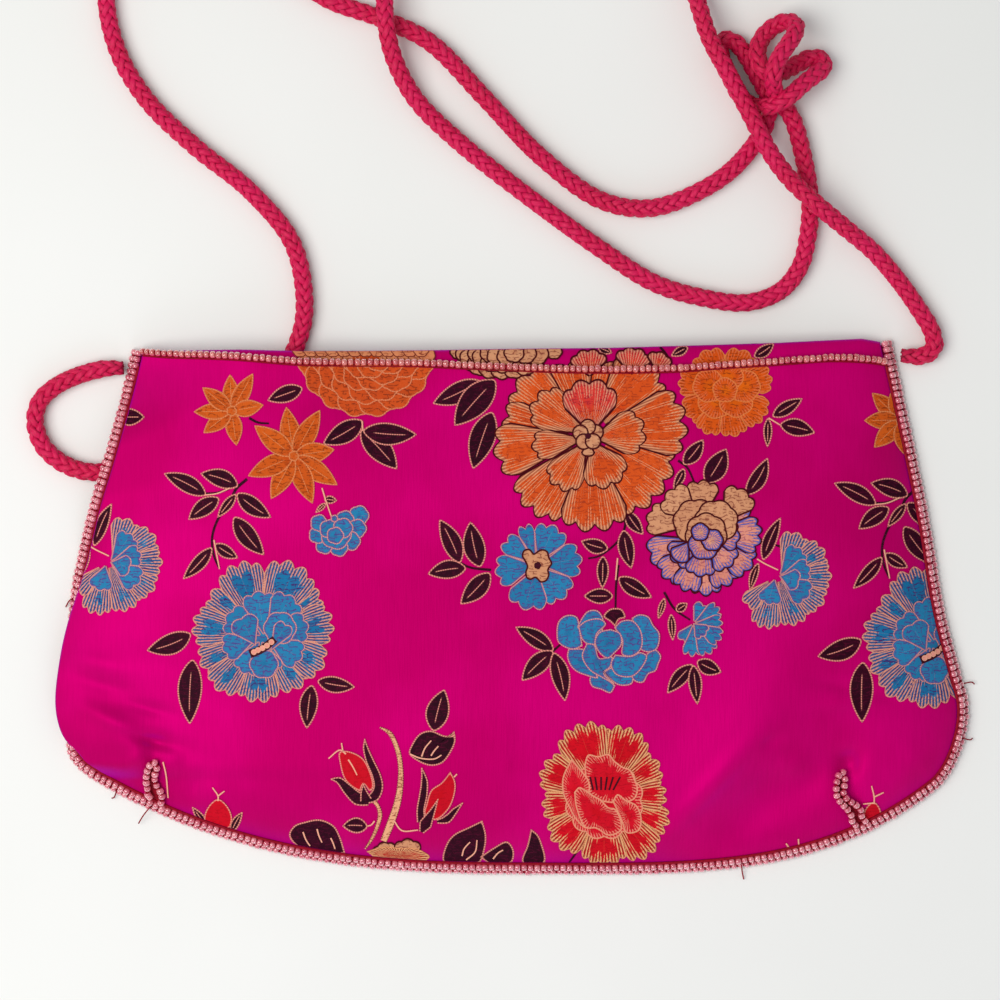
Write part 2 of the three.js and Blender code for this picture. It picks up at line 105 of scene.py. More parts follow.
add_lamp("window_light", (-500, -50, 950), (0, 20, 0), 760, 8.3, (1.0, 0.985, 0.96))
add_lamp("fill_light", (60, -820, 420), (0, 0, 0), 500, 1.3, (0.78, 0.8, 1.0))
world = bpy.data.worlds.new("soft_room")
world.use_nodes = True
world.node_tree.nodes["Background"].inputs["Color"].default_value = (0.93, 0.96, 1.0, 1.0)
world.node_tree.nodes["Background"].inputs["Strength"].default_value = 0.485
scene.world = world
scene.view_settings.view_transform = "Standard"


# %% [markdown]
# ## Helpers for meshes
#
# A surface is a grid of points, row after row. The faces of a grid are the same each time, so one
# function makes them, and one other function turns points and faces into a Blender mesh. Numbers
# that a finish needs at each point, such as how far it is from a petal's edge, are stored in the
# mesh as named attributes.


# %% Mesh helpers
def clamp(x):
    """x kept between 0 and 1."""
    return np.clip(x, 0.0, 1.0)


def smooth(x):
    """A soft step: 3x^2 - 2x^3 between 0 and 1."""
    x = clamp(x)
    return x * x * (3 - 2 * x)


def lerp(a, b, t):
    """The way from a to b, t of it."""
    return a + (b - a) * t


def grid_faces(rows, columns, first=0, closed=False):
    """Four-sided faces of a grid of points numbered row by row, closed round its columns if asked."""
    across = columns if closed else columns - 1
    r, c = np.meshgrid(np.arange(rows - 1), np.arange(across), indexing="ij")
    right = (c + 1) % columns
    corners = [r * columns + c, r * columns + right, (r + 1) * columns + right, (r + 1) * columns + c]
    return first + np.stack(corners, axis=-1).reshape(-1, 4)


def add_piece(name, points, faces, material, attributes=None, uv=None):
    """A smooth-shaded mesh piece from points in millimetres, which rides on the root body."""
    mesh = bpy.data.meshes.new(name)
    mesh.from_pydata((np.asarray(points).reshape(-1, 3) * MM).tolist(), [], [list(f) for f in faces])
    mesh.polygons.foreach_set("use_smooth", np.ones(len(mesh.polygons), dtype=bool))
    for label, values in (attributes or {}).items():
        layer = mesh.attributes.new(label, "FLOAT", "POINT")
        layer.data.foreach_set("value", np.asarray(values, dtype=np.float32).ravel())
    if uv is not None:
        corners = np.empty(len(mesh.loops), dtype=np.int32)
        mesh.loops.foreach_get("vertex_index", corners)
        layer = mesh.uv_layers.new(name="UVMap")
        layer.data.foreach_set("uv", np.asarray(uv, dtype=np.float32).reshape(-1, 2)[corners].ravel())
    mesh.materials.append(material)
    mesh.update()
    piece = add_object(name, mesh)
    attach(piece, "root")
    triangles = sum(len(p.vertices) - 2 for p in mesh.polygons)
    print(f"{name}: {len(mesh.vertices)} points, {triangles} triangles")
    return piece


# %% [markdown]
# ## Helpers for finishes
#
# A finish is a small graph of shader nodes. Colours are written as a paint chart gives them, from
# 0 to 255, and turned into the linear values that Blender mixes light with.


# %% Node helpers
def paint(red, green, blue):
    """A 0-255 screen colour as linear light, with full opacity."""
    share = np.array([red, green, blue]) / 255.0
    linear = np.where(share <= 0.04045, share / 12.92, ((share + 0.055) / 1.055) ** 2.4)
    return (*linear.tolist(), 1.0)


def node(tree, kind, inputs=None, **settings):
    """A node of that kind. An input is a value, or a socket to link from."""
    made = tree.nodes.new(kind)
    for key, value in settings.items():
        setattr(made, key, value)
    for key, value in (inputs or {}).items():
        if isinstance(value, bpy.types.NodeSocket):
            tree.links.new(value, made.inputs[key])
        else:
            made.inputs[key].default_value = value
    return made


def maths(tree, operation, *values):
    """One step of arithmetic on values or sockets."""
    return node(tree, "ShaderNodeMath", dict(enumerate(values)), operation=operation).outputs[0]


def remap(tree, value, low, high, to_low=0.0, to_high=1.0):
    """value from low..high carried smoothly to to_low..to_high."""
    made = node(tree, "ShaderNodeMapRange", {0: value, 1: low, 2: high, 3: to_low, 4: to_high})
    made.interpolation_type = "SMOOTHSTEP"
    return made.outputs[0]


def blend(tree, share, first, second, mode="MIX"):
    """first at share 0 and second at share 1, as colours."""
    made = node(tree, "ShaderNodeMix", data_type="RGBA", blend_type=mode, clamp_factor=True)
    for socket, value in ((made.inputs[0], share), (made.inputs[6], first), (made.inputs[7], second)):
        if isinstance(value, bpy.types.NodeSocket):
            tree.links.new(value, socket)
        else:
            socket.default_value = value
    return made.outputs[2]


def attribute(tree, label):
    """A number that the mesh holds at each of its points."""
    return node(tree, "ShaderNodeAttribute", attribute_name=label).outputs["Fac"]


def stretched(tree, scale):
    """Object coordinates, in metres, scaled along each axis."""
    place = node(tree, "ShaderNodeTexCoord").outputs["Object"]
    return node(tree, "ShaderNodeMapping", {"Vector": place, "Scale": scale}).outputs[0]


def noise(tree, vector, scale, detail=2.0):
    """Soft random values from 0 to 1 over the given coordinates."""
    inputs = {"Vector": vector, "Scale": scale, "Detail": detail}
    return node(tree, "ShaderNodeTexNoise", inputs).outputs["Fac"]


def new_material(name, **constants):
    """A material with one Principled BSDF, whose constants stay on its own sockets."""
    material = bpy.data.materials.new(name)
    material.use_nodes = True
    shader = material.node_tree.nodes["Principled BSDF"]
    for label, value in constants.items():
        shader.inputs[label.replace("_", " ")].default_value = value
    return material, material.node_tree, shader


def bump(tree, shader, height, strength, distance):
    """height as small relief, distance deep in metres."""
    inputs = {"Height": height, "Strength": strength, "Distance": distance}
    tree.links.new(node(tree, "ShaderNodeBump", inputs).outputs[0], shader.inputs["Normal"])


def new_group(name, inputs, outputs):
    """An empty node group with those sockets: label and kind, and for an input its value."""
    group = bpy.data.node_groups.new(name, "ShaderNodeTree")
    for label, kind, value in inputs:
        group.interface.new_socket(label, in_out="INPUT", socket_type=kind).default_value = value
    for label, kind in outputs:
        group.interface.new_socket(label, in_out="OUTPUT", socket_type=kind)
    start = group.nodes.new("NodeGroupInput")
    end = group.nodes.new("NodeGroupOutput")
    return group, start, end


NUMBER, COLOUR = "NodeSocketFloat", "NodeSocketColor"

# %% The table
floor_material, tree, shader = new_material("pale_table", Roughness=0.5)
cloudy = noise(tree, stretched(tree, (9.0, 9.0, 9.0)), 1.0, 3.0)
tree.links.new(blend(tree, cloudy, paint(229, 229, 224), paint(238, 238, 234)), shader.inputs["Base Color"])
FLOOR_SIZE = 3000.0
corners = np.array([(-1, -1, 0), (1, -1, 0), (1, 1, 0), (-1, 1, 0)]) * FLOOR_SIZE / 2
floor_mesh = bpy.data.meshes.new("table_top")
floor_mesh.from_pydata((corners * MM).tolist(), [], [(0, 1, 2, 3)])
floor_mesh.materials.append(floor_material)
floor = add_object("table_top", floor_mesh)

# %% [markdown]
# ## The braided cord
#
# The handle is one cord of about a metre. It is sewn into the mouth's left corner, makes a loop,
# runs under the purse, and comes back from behind to a bow knot and then to the right corner. It
# is a round braid of twelve strands: six wind one way and six the other, passing over and under
# each other. A plain tube with a painted braid would look flat where the light rakes it, so each
# strand is modelled.
#
# First comes the route, as points on the table with a layer number where the cord passes over
# itself. The curve through them is a centripetal Catmull-Rom curve, which makes no loops of its
# own between uneven points.

# %% The cord's route: x, y and layer
CORD = 5.0  # across the braid
CORD_GAP = 0.5  # between two turns that cross
TABLE_GAP = 0.1
LONG_RUN = [
    (-100.8, 62.2, 0), (-106.0, 61.9, 0), (-113.2, 59.9, 0), (-118.8, 57.0, 0), (-122.4, 53.4, 0),
    (-123.6, 48.2, 0), (-121.7, 42.2, 0), (-117.2, 37.9, 0), (-111.5, 35.5, 0), (-105.0, 35.2, 0),
    (-96.0, 37.1, 0), (-86.0, 41.1, 0), (-75.8, 46.8, 0), (-66.7, 53.4, 0), (-60.0, 60.3, 0),
    (-56.0, 67.5, 0), (-53.7, 77.0, 0), (-56.6, 94.0, 0), (-67.5, 107.7, 0), (-82.3, 119.7, 0),
    (-94.8, 131.9, 0), (-102.4, 145.0, 0), (-105.2, 160.0, 0), (-102.2, 174.0, 0), (-94.0, 182.3, 0),
    (-82.5, 183.9, 0), (-70.5, 178.5, 0), (-58.5, 166.0, 0), (-48.0, 157.9, 0), (-34.5, 153.0, 0),
    (-21.4, 146.8, 0), (-7.2, 132.4, 0), (7.5, 117.0, 0), (23.3, 105.6, 0), (36.0, 103.6, 0),
    (49.3, 108.3, 0), (58.0, 114.4, 0), (65.2, 123.6, 0),
]
KNOT = [
    (66.2, 126.6, 0), (67.0, 130.4, 0), (65.6, 134.6, 0), (63.4, 138.6, 0), (61.4, 142.3, 0),
    (58.8, 145.9, 0), (55.8, 147.4, 0), (54.0, 145.6, 0), (54.8, 141.6, 0), (57.0, 137.0, 0),
    (59.0, 133.2, 0), (61.2, 130.8, 0.1), (63.8, 129.6, 0.4), (67.4, 129.8, 1.0), (71.4, 131.8, 1.25),
    (75.0, 135.0, 1.1), (78.2, 137.6, 0.8), (80.7, 139.8, 0.4), (80.2, 142.2, 0.1), (77.2, 142.4, 0.05),
    (73.8, 140.8, 0.1), (70.8, 139.0, 0.45), (67.4, 137.8, 1.0), (64.6, 139.4, 1.05), (63.5, 143.4, 0.75),
    (64.8, 147.4, 0.4), (67.6, 150.3, 0.3), (70.8, 151.6, 0.55), (73.2, 150.6, 1.05),
    (72.8, 147.8, 1.6), (70.6, 144.4, 1.95), (68.4, 141.0, 2.1), (67.2, 137.4, 2.1), (67.8, 133.6, 1.2),
    (70.4, 130.4, 0.1), (72.4, 127.6, 0),
]
SHORT_RUN = [
    (73.6, 124.9, 0), (75.3, 118.6, 0), (76.8, 111.1, 0), (77.5, 104.0, 0), (76.8, 96.0, 0),
    (74.8, 88.4, 0), (69.8, 82.2, 0), (61.0, 79.1, 0), (49.0, 80.5, 0), (37.0, 84.2, 0),
    (22.5, 93.4, 0), (3.5, 107.2, 0), (-14.4, 121.4, 0), (-25.0, 132.0, 0.1), (-30.6, 142.6, 0.65),
    (-32.6, 152.6, 1.05), (-32.4, 162.6, 0.65), (-29.6, 174.0, 0.1), (-22.0, 184.6, 0),
    (-9.5, 192.2, 0), (7.4, 195.2, 0), (25.0, 192.0, 0), (38.2, 182.4, 0), (44.2, 169.8, 0.2),
    (48.0, 157.0, 0.65), (51.1, 147.0, 1.05), (56.3, 137.1, 1.25), (61.6, 127.1, 1.25),
    (66.4, 118.0, 1.1), (71.7, 110.9, 1.0), (78.0, 104.9, 1.0), (86.2, 98.4, 0.5),
    (94.0, 92.1, 0.1), (100.6, 84.5, 0), (105.6, 77.4, 0), (109.0, 71.6, 0), (109.6, 67.4, 0),
    (106.4, 65.2, 0), (101.2, 65.4, 0),
]


def cord_points(run):
    """The route's points, each layer one cord and its gap above the one below."""
    route = np.array(run, float)
    route[:, 2] = CORD / 2 + TABLE_GAP + route[:, 2] * (CORD + CORD_GAP)
    return route


def curve_through(points, steps=24):
    """Centripetal Catmull-Rom: each knot's speed weighs its neighbours by the root of their distance."""
    p = np.vstack([2 * points[0] - points[1], points, 2 * points[-1] - points[-2]])
    gap = np.sqrt(np.linalg.norm(np.diff(p, axis=0), axis=1))[:, None]
    before, here, after = gap[:-2], gap[1:-1], gap[2:]
    a, b, c, d = p[:-3], p[1:-2], p[2:-1], p[3:]
    leave = (b - a) / before - (c - a) / (before + here) + (c - b) / here
    arrive = (c - b) / here - (d - b) / (here + after) + (d - c) / after
    t = (np.arange(steps) / steps)[None, :, None]
    b, c = b[:, None], c[:, None]
    leave, arrive = (leave * here)[:, None], (arrive * here)[:, None]
    curve = (
        (2 * t**3 - 3 * t**2 + 1) * b
        + (t**3 - 2 * t**2 + t) * leave
        + (3 * t**2 - 2 * t**3) * c
        + (t**3 - t**2) * arrive
    )
    return np.vstack([curve.reshape(-1, 3), points[-1:]])


def walk(points):
    """How far along a line each of its points lies: the sum of the steps up to it."""
    return np.concatenate([[0.0], np.cumsum(np.linalg.norm(np.diff(points, axis=0), axis=1))])


def evenly(points, count):
    """The same line with count points at even distances along it, and its length."""
    walked = walk(points)
    stations = np.linspace(0.0, walked[-1], count)
    return np.stack([np.interp(stations, walked, points[:, k]) for k in range(3)], axis=1), walked[-1]


cord_line = curve_through(np.vstack([cord_points(run) for run in (LONG_RUN, KNOT, SHORT_RUN)]))
CORD_STATIONS = 1310
cord_line, cord_length = evenly(cord_line, CORD_STATIONS)
print("cord length:", round(cord_length), "mm")

# %% [markdown]
# A strand's centre stands off the cord's centre at an angle that grows along the cord, to the left
# for one set and to the right for the other. Each strand goes over two of the other set and then
# under two, always on the same sides of the cord, which gives the long slanting plaits in columns.
# So its distance from the centre depends only on that angle, and the two sets swing opposite ways.
# Each strand's section is a flattened ellipse that lies on the braid's surface.

# %% The braid
BRAID_PITCH = 18.0  # along the cord, for one turn of a strand
BRAID_TWIST = 420.0  # along the cord, for one turn of the columns
STRANDS_EACH_WAY = 6
STRAND_RING = 1.5  # from the cord's centre to a strand's centre
STRAND_SWING = 0.46
STRAND_WIDTH = 0.86  # half of a strand, across
STRAND_THICKNESS = 0.5
STRAND_SIDES = 6
SWING_POWER = 0.6  # under 1 holds a strand longer above or below
END_TAPER = 7.0  # how far from its sewn ends the braid thins
END_WIDTH = 0.72  # of the braid's full width


def unit(vectors):
    """Vectors scaled to length 1."""
    return vectors / np.linalg.norm(vectors, axis=-1, keepdims=True)


def braid(line, length):
    """Points, faces, UV of the strands along a line: u runs across a strand and v along it."""
    along = np.linspace(0.0, length, len(line))
    forward = unit(np.gradient(line, axis=0))
    aside = unit(np.cross([0.0, 0.0, 1.0], forward))
    upward = np.cross(forward, aside)
    ends = smooth(0.25 + 0.75 * np.minimum(along, length - along) / END_TAPER)
    thin = lerp(END_WIDTH, 1.0, ends)[:, None]
    turn = 2 * np.pi * along / BRAID_PITCH
    around = np.linspace(0.0, 2 * np.pi, STRAND_SIDES, endpoint=False)
    points, faces, uv = [], [], []
    for way in (1, -1):
        for k in range(STRANDS_EACH_WAY):
            angle = way * turn + 2 * np.pi * k / STRANDS_EACH_WAY
            wave = np.cos(STRANDS_EACH_WAY / 2 * angle - np.pi / 4)
            swing = way * np.sign(wave) * np.abs(wave) ** SWING_POWER
            angle = angle + 2 * np.pi * along / BRAID_TWIST
            reach = (STRAND_RING + STRAND_SWING * swing)[:, None] * thin
            outward = np.cos(angle)[:, None] * aside + np.sin(angle)[:, None] * upward
            centre = line + reach * outward
            heading = unit(np.gradient(centre, axis=0))
            outward = unit(outward - heading * np.sum(outward * heading, axis=1, keepdims=True))
            across = np.cross(heading, outward)
            ring = (
                centre[:, None]
                + across[:, None] * (STRAND_WIDTH * np.cos(around))[None, :, None] * thin[:, None]
                + outward[:, None] * (STRAND_THICKNESS * np.sin(around))[None, :, None] * thin[:, None]
            )
            first = sum(len(p) for p in points)
            points.append(ring.reshape(-1, 3))
            faces.extend(grid_faces(len(line), STRAND_SIDES, first, closed=True).tolist())
            last = first + (len(line) - 1) * STRAND_SIDES
            faces.append([first + s for s in reversed(range(STRAND_SIDES))])
            faces.append([last + s for s in range(STRAND_SIDES)])
            v = np.repeat(along[:, None], STRAND_SIDES, axis=1)
            u = np.repeat((around / (2 * np.pi))[None], len(line), axis=0)
            uv.append(np.stack([u, v], axis=-1).reshape(-1, 2))
    return np.vstack(points), faces, np.vstack(uv)


braid_material, tree, shader = new_material(
    "raspberry_braid", Roughness=0.5, Sheen_Weight=0.22, Sheen_Roughness=0.35, Specular_IOR_Level=0.3
)
shader.inputs["Sheen Tint"].default_value = paint(255, 90, 150)
strand_uv = node(tree, "ShaderNodeUVMap", uv_map="UVMap").outputs[0]
drawn_out = {"Vector": strand_uv, "Scale": (26.0, 1.1, 1.0)}
fibre = noise(tree, node(tree, "ShaderNodeMapping", drawn_out).outputs[0], 1.0)
patchy = noise(tree, stretched(tree, (60.0, 60.0, 60.0)), 1.0, 3.0)
yarn = blend(tree, remap(tree, fibre, 0.3, 0.7), paint(190, 2, 56), paint(222, 12, 84))
yarn = blend(tree, remap(tree, patchy, 0.35, 0.65, 0.0, 0.4), yarn, paint(222, 10, 92))
# Painted shade: the yarn darkens towards deep crimson where a strand lies near the cord's centre, in the
# grooves between the plaits.
depth = attribute(tree, "depth")
yarn = blend(tree, remap(tree, depth, 0.5, 0.86, 0.75, 0.0), yarn, paint(128, 0, 36))
tree.links.new(yarn, shader.inputs["Base Color"])
bump(tree, shader, fibre, 0.6, 0.0003)

points, faces, uv = braid(cord_line, cord_length)
# How far each point lies from the cord's centre, which the painted shade in the grooves reads.
near_axis = np.rint(uv[:, 1] / cord_length * (CORD_STATIONS - 1)).astype(int)
depth = np.linalg.norm(points - cord_line[near_axis], axis=1) / (CORD / 2)
cord = add_piece("braided_handle_cord", points, faces, braid_material, attributes={"depth": depth}, uv=uv)
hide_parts("shoulder_cord_long_run", "strap_bow_knot", "shoulder_cord_short_run")

# %% [markdown]
# ## The purse's shape
#
# The sewn outline is one path: down the left side, along the bottom and up the right side. The
# sides come from a short table of half-widths at shares of the height, the bottom from a flattened
# power curve. Everything on the purse is placed from that path.

# %% Real sizes of the purse
PURSE_WIDTH = 238.0
PURSE_HEIGHT = 139.0
LEFT_TOP_DROP = 2.4
LEFT_CORNER_RISE = 24.9
RIGHT_CORNER_RISE = 23.6
MOUTH_DIP = 5.6  # how far the mouth's bead row sags below the fold
CLOTH = 1.5
PUFF = 6.5
PUFF_REACH = 9.0
BELLY = 4.5
MOUTH_SLACK = 0.35
LIP_DROP = 2.0
LIP_REACH = 0.8
BACK_LIP_SETBACK = 1.2
BEAD = 1.9
SEAM_STEP = 1.2
TUCK = 2.2
DART_RISE = 14.5
DART_DEPTH = 1.6
DART_WIDTH = 3.2
TUNNEL_FLAT = 5.5
TUNNEL_SLOPE = 18.0
GAP = 0.3

BOTTOM_POWER_LEFT, BOTTOM_POWER_RIGHT = 2.7, 3.8  # the higher, the squarer the corner
# Share of the side from the bottom corner up; half-widths, left and right, as shares.
SIDE_UP = np.array([0.0, 0.03, 0.08, 0.14, 0.19, 0.25, 0.4, 0.6, 0.8, 1.0])
SIDE_LEFT = np.array([0.912, 0.95, 0.981, 0.996, 1.0, 0.995, 0.975, 0.929, 0.874, 0.83])
SIDE_RIGHT = np.array([0.94, 0.962, 0.984, 0.998, 0.998, 0.982, 0.945, 0.913, 0.873, 0.83])

# Soft folds: across, up, turn in degrees, length, width and height, as shares of half the width,
# half the height and the puff.
FOLDS = [
    ("left upper wrinkle", -0.82, -0.2, -12, 0.17, 0.07, 0.13),
    ("left middle hollow", -0.84, -0.36, -16, 0.16, 0.06, -0.13),
    ("left lower wrinkle", -0.8, -0.5, -24, 0.15, 0.06, 0.12),
    ("left dart hollow", -0.7, -0.55, -35, 0.1, 0.08, -0.2),
    ("right upper crease", 0.82, -0.27, 4, 0.12, 0.04, 0.1),
    ("right lower crease", 0.84, -0.36, 2, 0.12, 0.04, -0.1),
    ("broad bright fold", 0.5, -0.5, 58, 0.22, 0.15, 0.3),
    ("valley under it", 0.45, -0.8, 35, 0.22, 0.14, -0.22),
    ("shaded side of the fold", 0.6, -0.74, 42, 0.2, 0.2, -0.4),
    ("right dart hollow", 0.66, -0.62, 55, 0.09, 0.07, -0.18),
]
# Small creases where the silk is slack: column, row, degrees, half-length and half-width in pixels
# of the picture, and height in millimetres.
CREASES = [
    (94, 660, -12, 34, 9, 0.9), (100, 682, -14, 34, 8, -1.0), (112, 716, -24, 34, 9, 1.2),
    (150, 706, -14, 24, 6, -0.8), (160, 738, -18, 24, 9, -1.8), (140, 757, 40, 10, 7, 1.0),
    (181, 782, 72, 24, 11, -1.5), (210, 800, 60, 26, 10, 0.6), (120, 788, -38, 26, 8, -0.6),
    (838, 684, -8, 24, 5, -0.9), (842, 701, 4, 28, 6, 0.8), (886, 697, -4, 14, 4, -0.8),
    (849, 761, 74, 15, 10, -1.9), (792, 763, 8, 18, 12, 0.9), (768, 739, 30, 10, 6, -0.7),
    (706, 786, 48, 70, 11, 1.3), (744, 818, 46, 66, 24, -2.2), (905, 770, 60, 30, 14, 0.7),
    (196, 786, 66, 18, 7, -1.2), (152, 739, -16, 18, 5, -1.3),
]
# Foot and head across, as shares of half the width, and a share of the dart's rise.
DARTS = [("left_dart", -0.783, -0.783, 0.9), ("right_dart", 0.763, 0.726, 1.1)]

HALF_WIDTH = (PURSE_WIDTH - BEAD) / 2
TOP_LEFT = PURSE_HEIGHT / 2 - LIP_REACH - LEFT_TOP_DROP
TOP_RIGHT = PURSE_HEIGHT / 2 - LIP_REACH
BOTTOM = -PURSE_HEIGHT / 2 + BEAD / 2
CORNER_LEFT = -PURSE_HEIGHT / 2 + LEFT_CORNER_RISE
CORNER_RIGHT = -PURSE_HEIGHT / 2 + RIGHT_CORNER_RISE
BACK_ROW_HEIGHT = BEAD / 2 + TABLE_GAP
FRONT_ROW_HEIGHT = BACK_ROW_HEIGHT + math.sqrt((BEAD + GAP) ** 2 - SEAM_STEP**2)
BACK_INSET = BEAD / 2 + GAP
FRONT_INSET = SEAM_STEP + BEAD / 2 + GAP
RIM_TOP = 2 * CLOTH + GAP
COVER_RISE = FRONT_ROW_HEIGHT + BEAD / 2 + GAP - (RIM_TOP - CLOTH)
TUNNEL_HEIGHT = CORD + GAP


# %% The sewn outline
def side_value(column, up):
    """A smooth value between a table's rows: cubic Hermite, slopes from the two neighbours."""
    up = clamp(up)
    last = len(SIDE_UP) - 1
    before, after = np.maximum(np.arange(last + 1) - 1, 0), np.minimum(np.arange(last + 1) + 1, last)
    slope = (column[after] - column[before]) / (SIDE_UP[after] - SIDE_UP[before])
    i = np.clip(np.searchsorted(SIDE_UP, up, side="left") - 1, 0, last - 1)
    span = SIDE_UP[i + 1] - SIDE_UP[i]
    s = (up - SIDE_UP[i]) / span
    return (
        (1 + 2 * s) * (1 - s) ** 2 * column[i]
        + s * (1 - s) ** 2 * span * slope[i]
        + s * s * (3 - 2 * s) * column[i + 1]
        + s * s * (s - 1) * span * slope[i + 1]
    )


def outline_point(s):
    """Left side downwards for s from 0 to 1, the bottom from 1 to 2, the right side up from 2 to 3."""
    s = np.asarray(s, float)
    u = clamp(s - 1)
    sag = (CORNER_LEFT + CORNER_RIGHT) / 2 - BOTTOM
    foot_left, foot_right = -HALF_WIDTH * SIDE_LEFT[0], HALF_WIDTH * SIDE_RIGHT[0]
    power = np.where(u < 0.5, BOTTOM_POWER_LEFT, BOTTOM_POWER_RIGHT)
    bottom_x = lerp(foot_left, foot_right, u)
    bottom_y = lerp(CORNER_LEFT, CORNER_RIGHT, u) - sag * (1 - np.abs(2 * u - 1) ** power)
    x = np.where(s > 2, HALF_WIDTH * side_value(SIDE_RIGHT, s - 2), bottom_x)
    y = np.where(s > 2, lerp(CORNER_RIGHT, TOP_RIGHT, s - 2), bottom_y)
    x = np.where(s < 1, -HALF_WIDTH * side_value(SIDE_LEFT, 1 - s), x)
    y = np.where(s < 1, lerp(TOP_LEFT, CORNER_LEFT, s), y)
    return x, y


DIRECTION_STEP = 0.02  # along the outline, to either side, to find its direction


def inset_point(s, inset):
    """The outline moved inwards, square to itself."""
    s = np.asarray(s, float)
    x, y = outline_point(s)
    ax, ay = outline_point(np.maximum(0, s - DIRECTION_STEP))
    bx, by = outline_point(np.minimum(3, s + DIRECTION_STEP))
    length = np.hypot(bx - ax, by - ay)
    return x - inset * (by - ay) / length, y + inset * (bx - ax) / length


def mouth_sag(u):
    """How far the mouth's bead row hangs below the line between its corners: a sine arch, skewed to
    the right by one power and flattened by the other."""
    return MOUTH_DIP * np.sin(np.pi * clamp(u) ** 1.35) ** 0.6


# How far the fold's top edge dips, in millimetres, at shares of the way from left to right.
BOW_AT = (0.0, 0.135, 0.21, 0.29, 0.38, 0.5, 0.63, 0.755, 0.86, 0.975, 1.0)
BOW = (0.0, 0.13, 0.7, 0.83, 0.88, 0.8, 0.85, 0.47, 0.08, -0.8, 0.0)


def fold_band(u):
    """How far the fold's top edge lies past the line that it rolls from."""
    return mouth_sag(u) + LIP_REACH - np.interp(u, BOW_AT, BOW)


def mouth_row(u, inset):
    """Points of the line that the mouth's fold rolls from."""
    ax, ay = inset_point(0.0, inset)
    bx, by = inset_point(3.0, inset)
    return lerp(ax, bx, u), lerp(ay, by, u) - mouth_sag(u)


def cover(up):
    """How far the left side bulges over its seam: a hump at a fifth of the side."""
    share = clamp(up) / 0.2
    return share * np.exp(1 - share)


def cover_rise(up):
    return smooth(2 * cover(up))


def cover_spread(up):
    return smooth(2 * cover(up) - 1)


def coons(u, v, left, right, bottom, top):
    """A grid between four edges: the two blends of opposite edges, less the blend of the corners."""
    l, r, b, t = left(v), right(v), bottom(u), top(u)
    out = []
    for k in (0, 1):
        l0, l1, r0, r1 = (edge(np.array([end]))[k][0] for edge in (left, right) for end in (0.0, 1.0))
        uu, vv = u[None, :], v[:, None]
        straight = lerp(b[k][None, :], t[k][None, :], vv) + lerp(l[k][:, None], r[k][:, None], uu)
        out.append(straight - lerp(lerp(l0, r0, uu), lerp(l1, r1, uu), vv))
    return out


print("outline spans", [round(float(v), 1) for v in outline_point(np.array([0.0, 1.5, 3.0]))[0]])

# %% [markdown]
# The front's height over the table is a sum: it rises quickly inside the seam and then slowly to a
# low belly, it is lifted where the cord runs underneath, pinched along each dart, and dented by the
# folds. One function gives that height at any place, so the beads and the woven pattern can ask
# for it too.


# %% The front's height
def distance_to(chain, x, y):
    """The least distance in plan from each point to a chain of straight pieces."""
    least = np.full(np.broadcast(x, y).shape, np.inf)
    for (ax, ay), (bx, by) in zip(chain[:-1], chain[1:]):
        dx, dy = bx - ax, by - ay
        t = clamp(((x - ax) * dx + (y - ay) * dy) / (dx * dx + dy * dy))
        least = np.minimum(least, np.hypot(x - ax - t * dx, y - ay - t * dy))
    return least


OUTLINE = np.stack(outline_point(np.linspace(0, 3, 151)), axis=1)
TUNNEL = np.array(LONG_RUN)[8:17, :2]


def lift(x, y):
    """How far the cord under the purse lifts what lies on it."""
    return TUNNEL_HEIGHT * (1 - smooth((distance_to(TUNNEL, x, y) - TUNNEL_FLAT) / TUNNEL_SLOPE))


def bell(dx, dy, degrees, length, width):
    """1 in the middle, falling off as e to the minus squares of the shares along and aside."""
    turn = math.radians(degrees)
    along = (dx * math.cos(turn) + dy * math.sin(turn)) / length
    aside = (dy * math.cos(turn) - dx * math.sin(turn)) / width
    return np.exp(-along * along - aside * aside)


def fold_height(x, y):
    """The sum of the folds, each a long soft bell turned in plan."""
    total = 0.0
    for _, across, up, degrees, length, width, height in FOLDS:
        dx, dy = x - across * PURSE_WIDTH / 2, y - up * PURSE_HEIGHT / 2
        reach = (length * PURSE_WIDTH / 2, width * PURSE_HEIGHT / 2)
        total = total + height * PUFF * bell(dx, dy, degrees, *reach)
    return total


def crease_height(x, y):
    """The sum of the creases, each a small soft bell turned in plan."""
    total = 0.0
    for column, row, degrees, length, width, height in CREASES:
        dx, dy = x / PIXEL + MIDDLE_COLUMN - column, y / PIXEL - MIDDLE_ROW + row
        total = total + height * bell(dx, dy, degrees, length, width)
    return total


def dart_line(dart):
    """A dart's foot on the seam and its head, in plan."""
    _, foot, head, rise = dart
    left, right = inset_point(1.0, FRONT_INSET)[0], inset_point(2.0, FRONT_INSET)[0]
    x, y = inset_point(1 + (foot * HALF_WIDTH - left) / (right - left), FRONT_INSET)
    return np.array([(float(x), float(y)), (head * HALF_WIDTH, float(y) + rise * DART_RISE)])


DART_LINES = [dart_line(dart) for dart in DARTS]


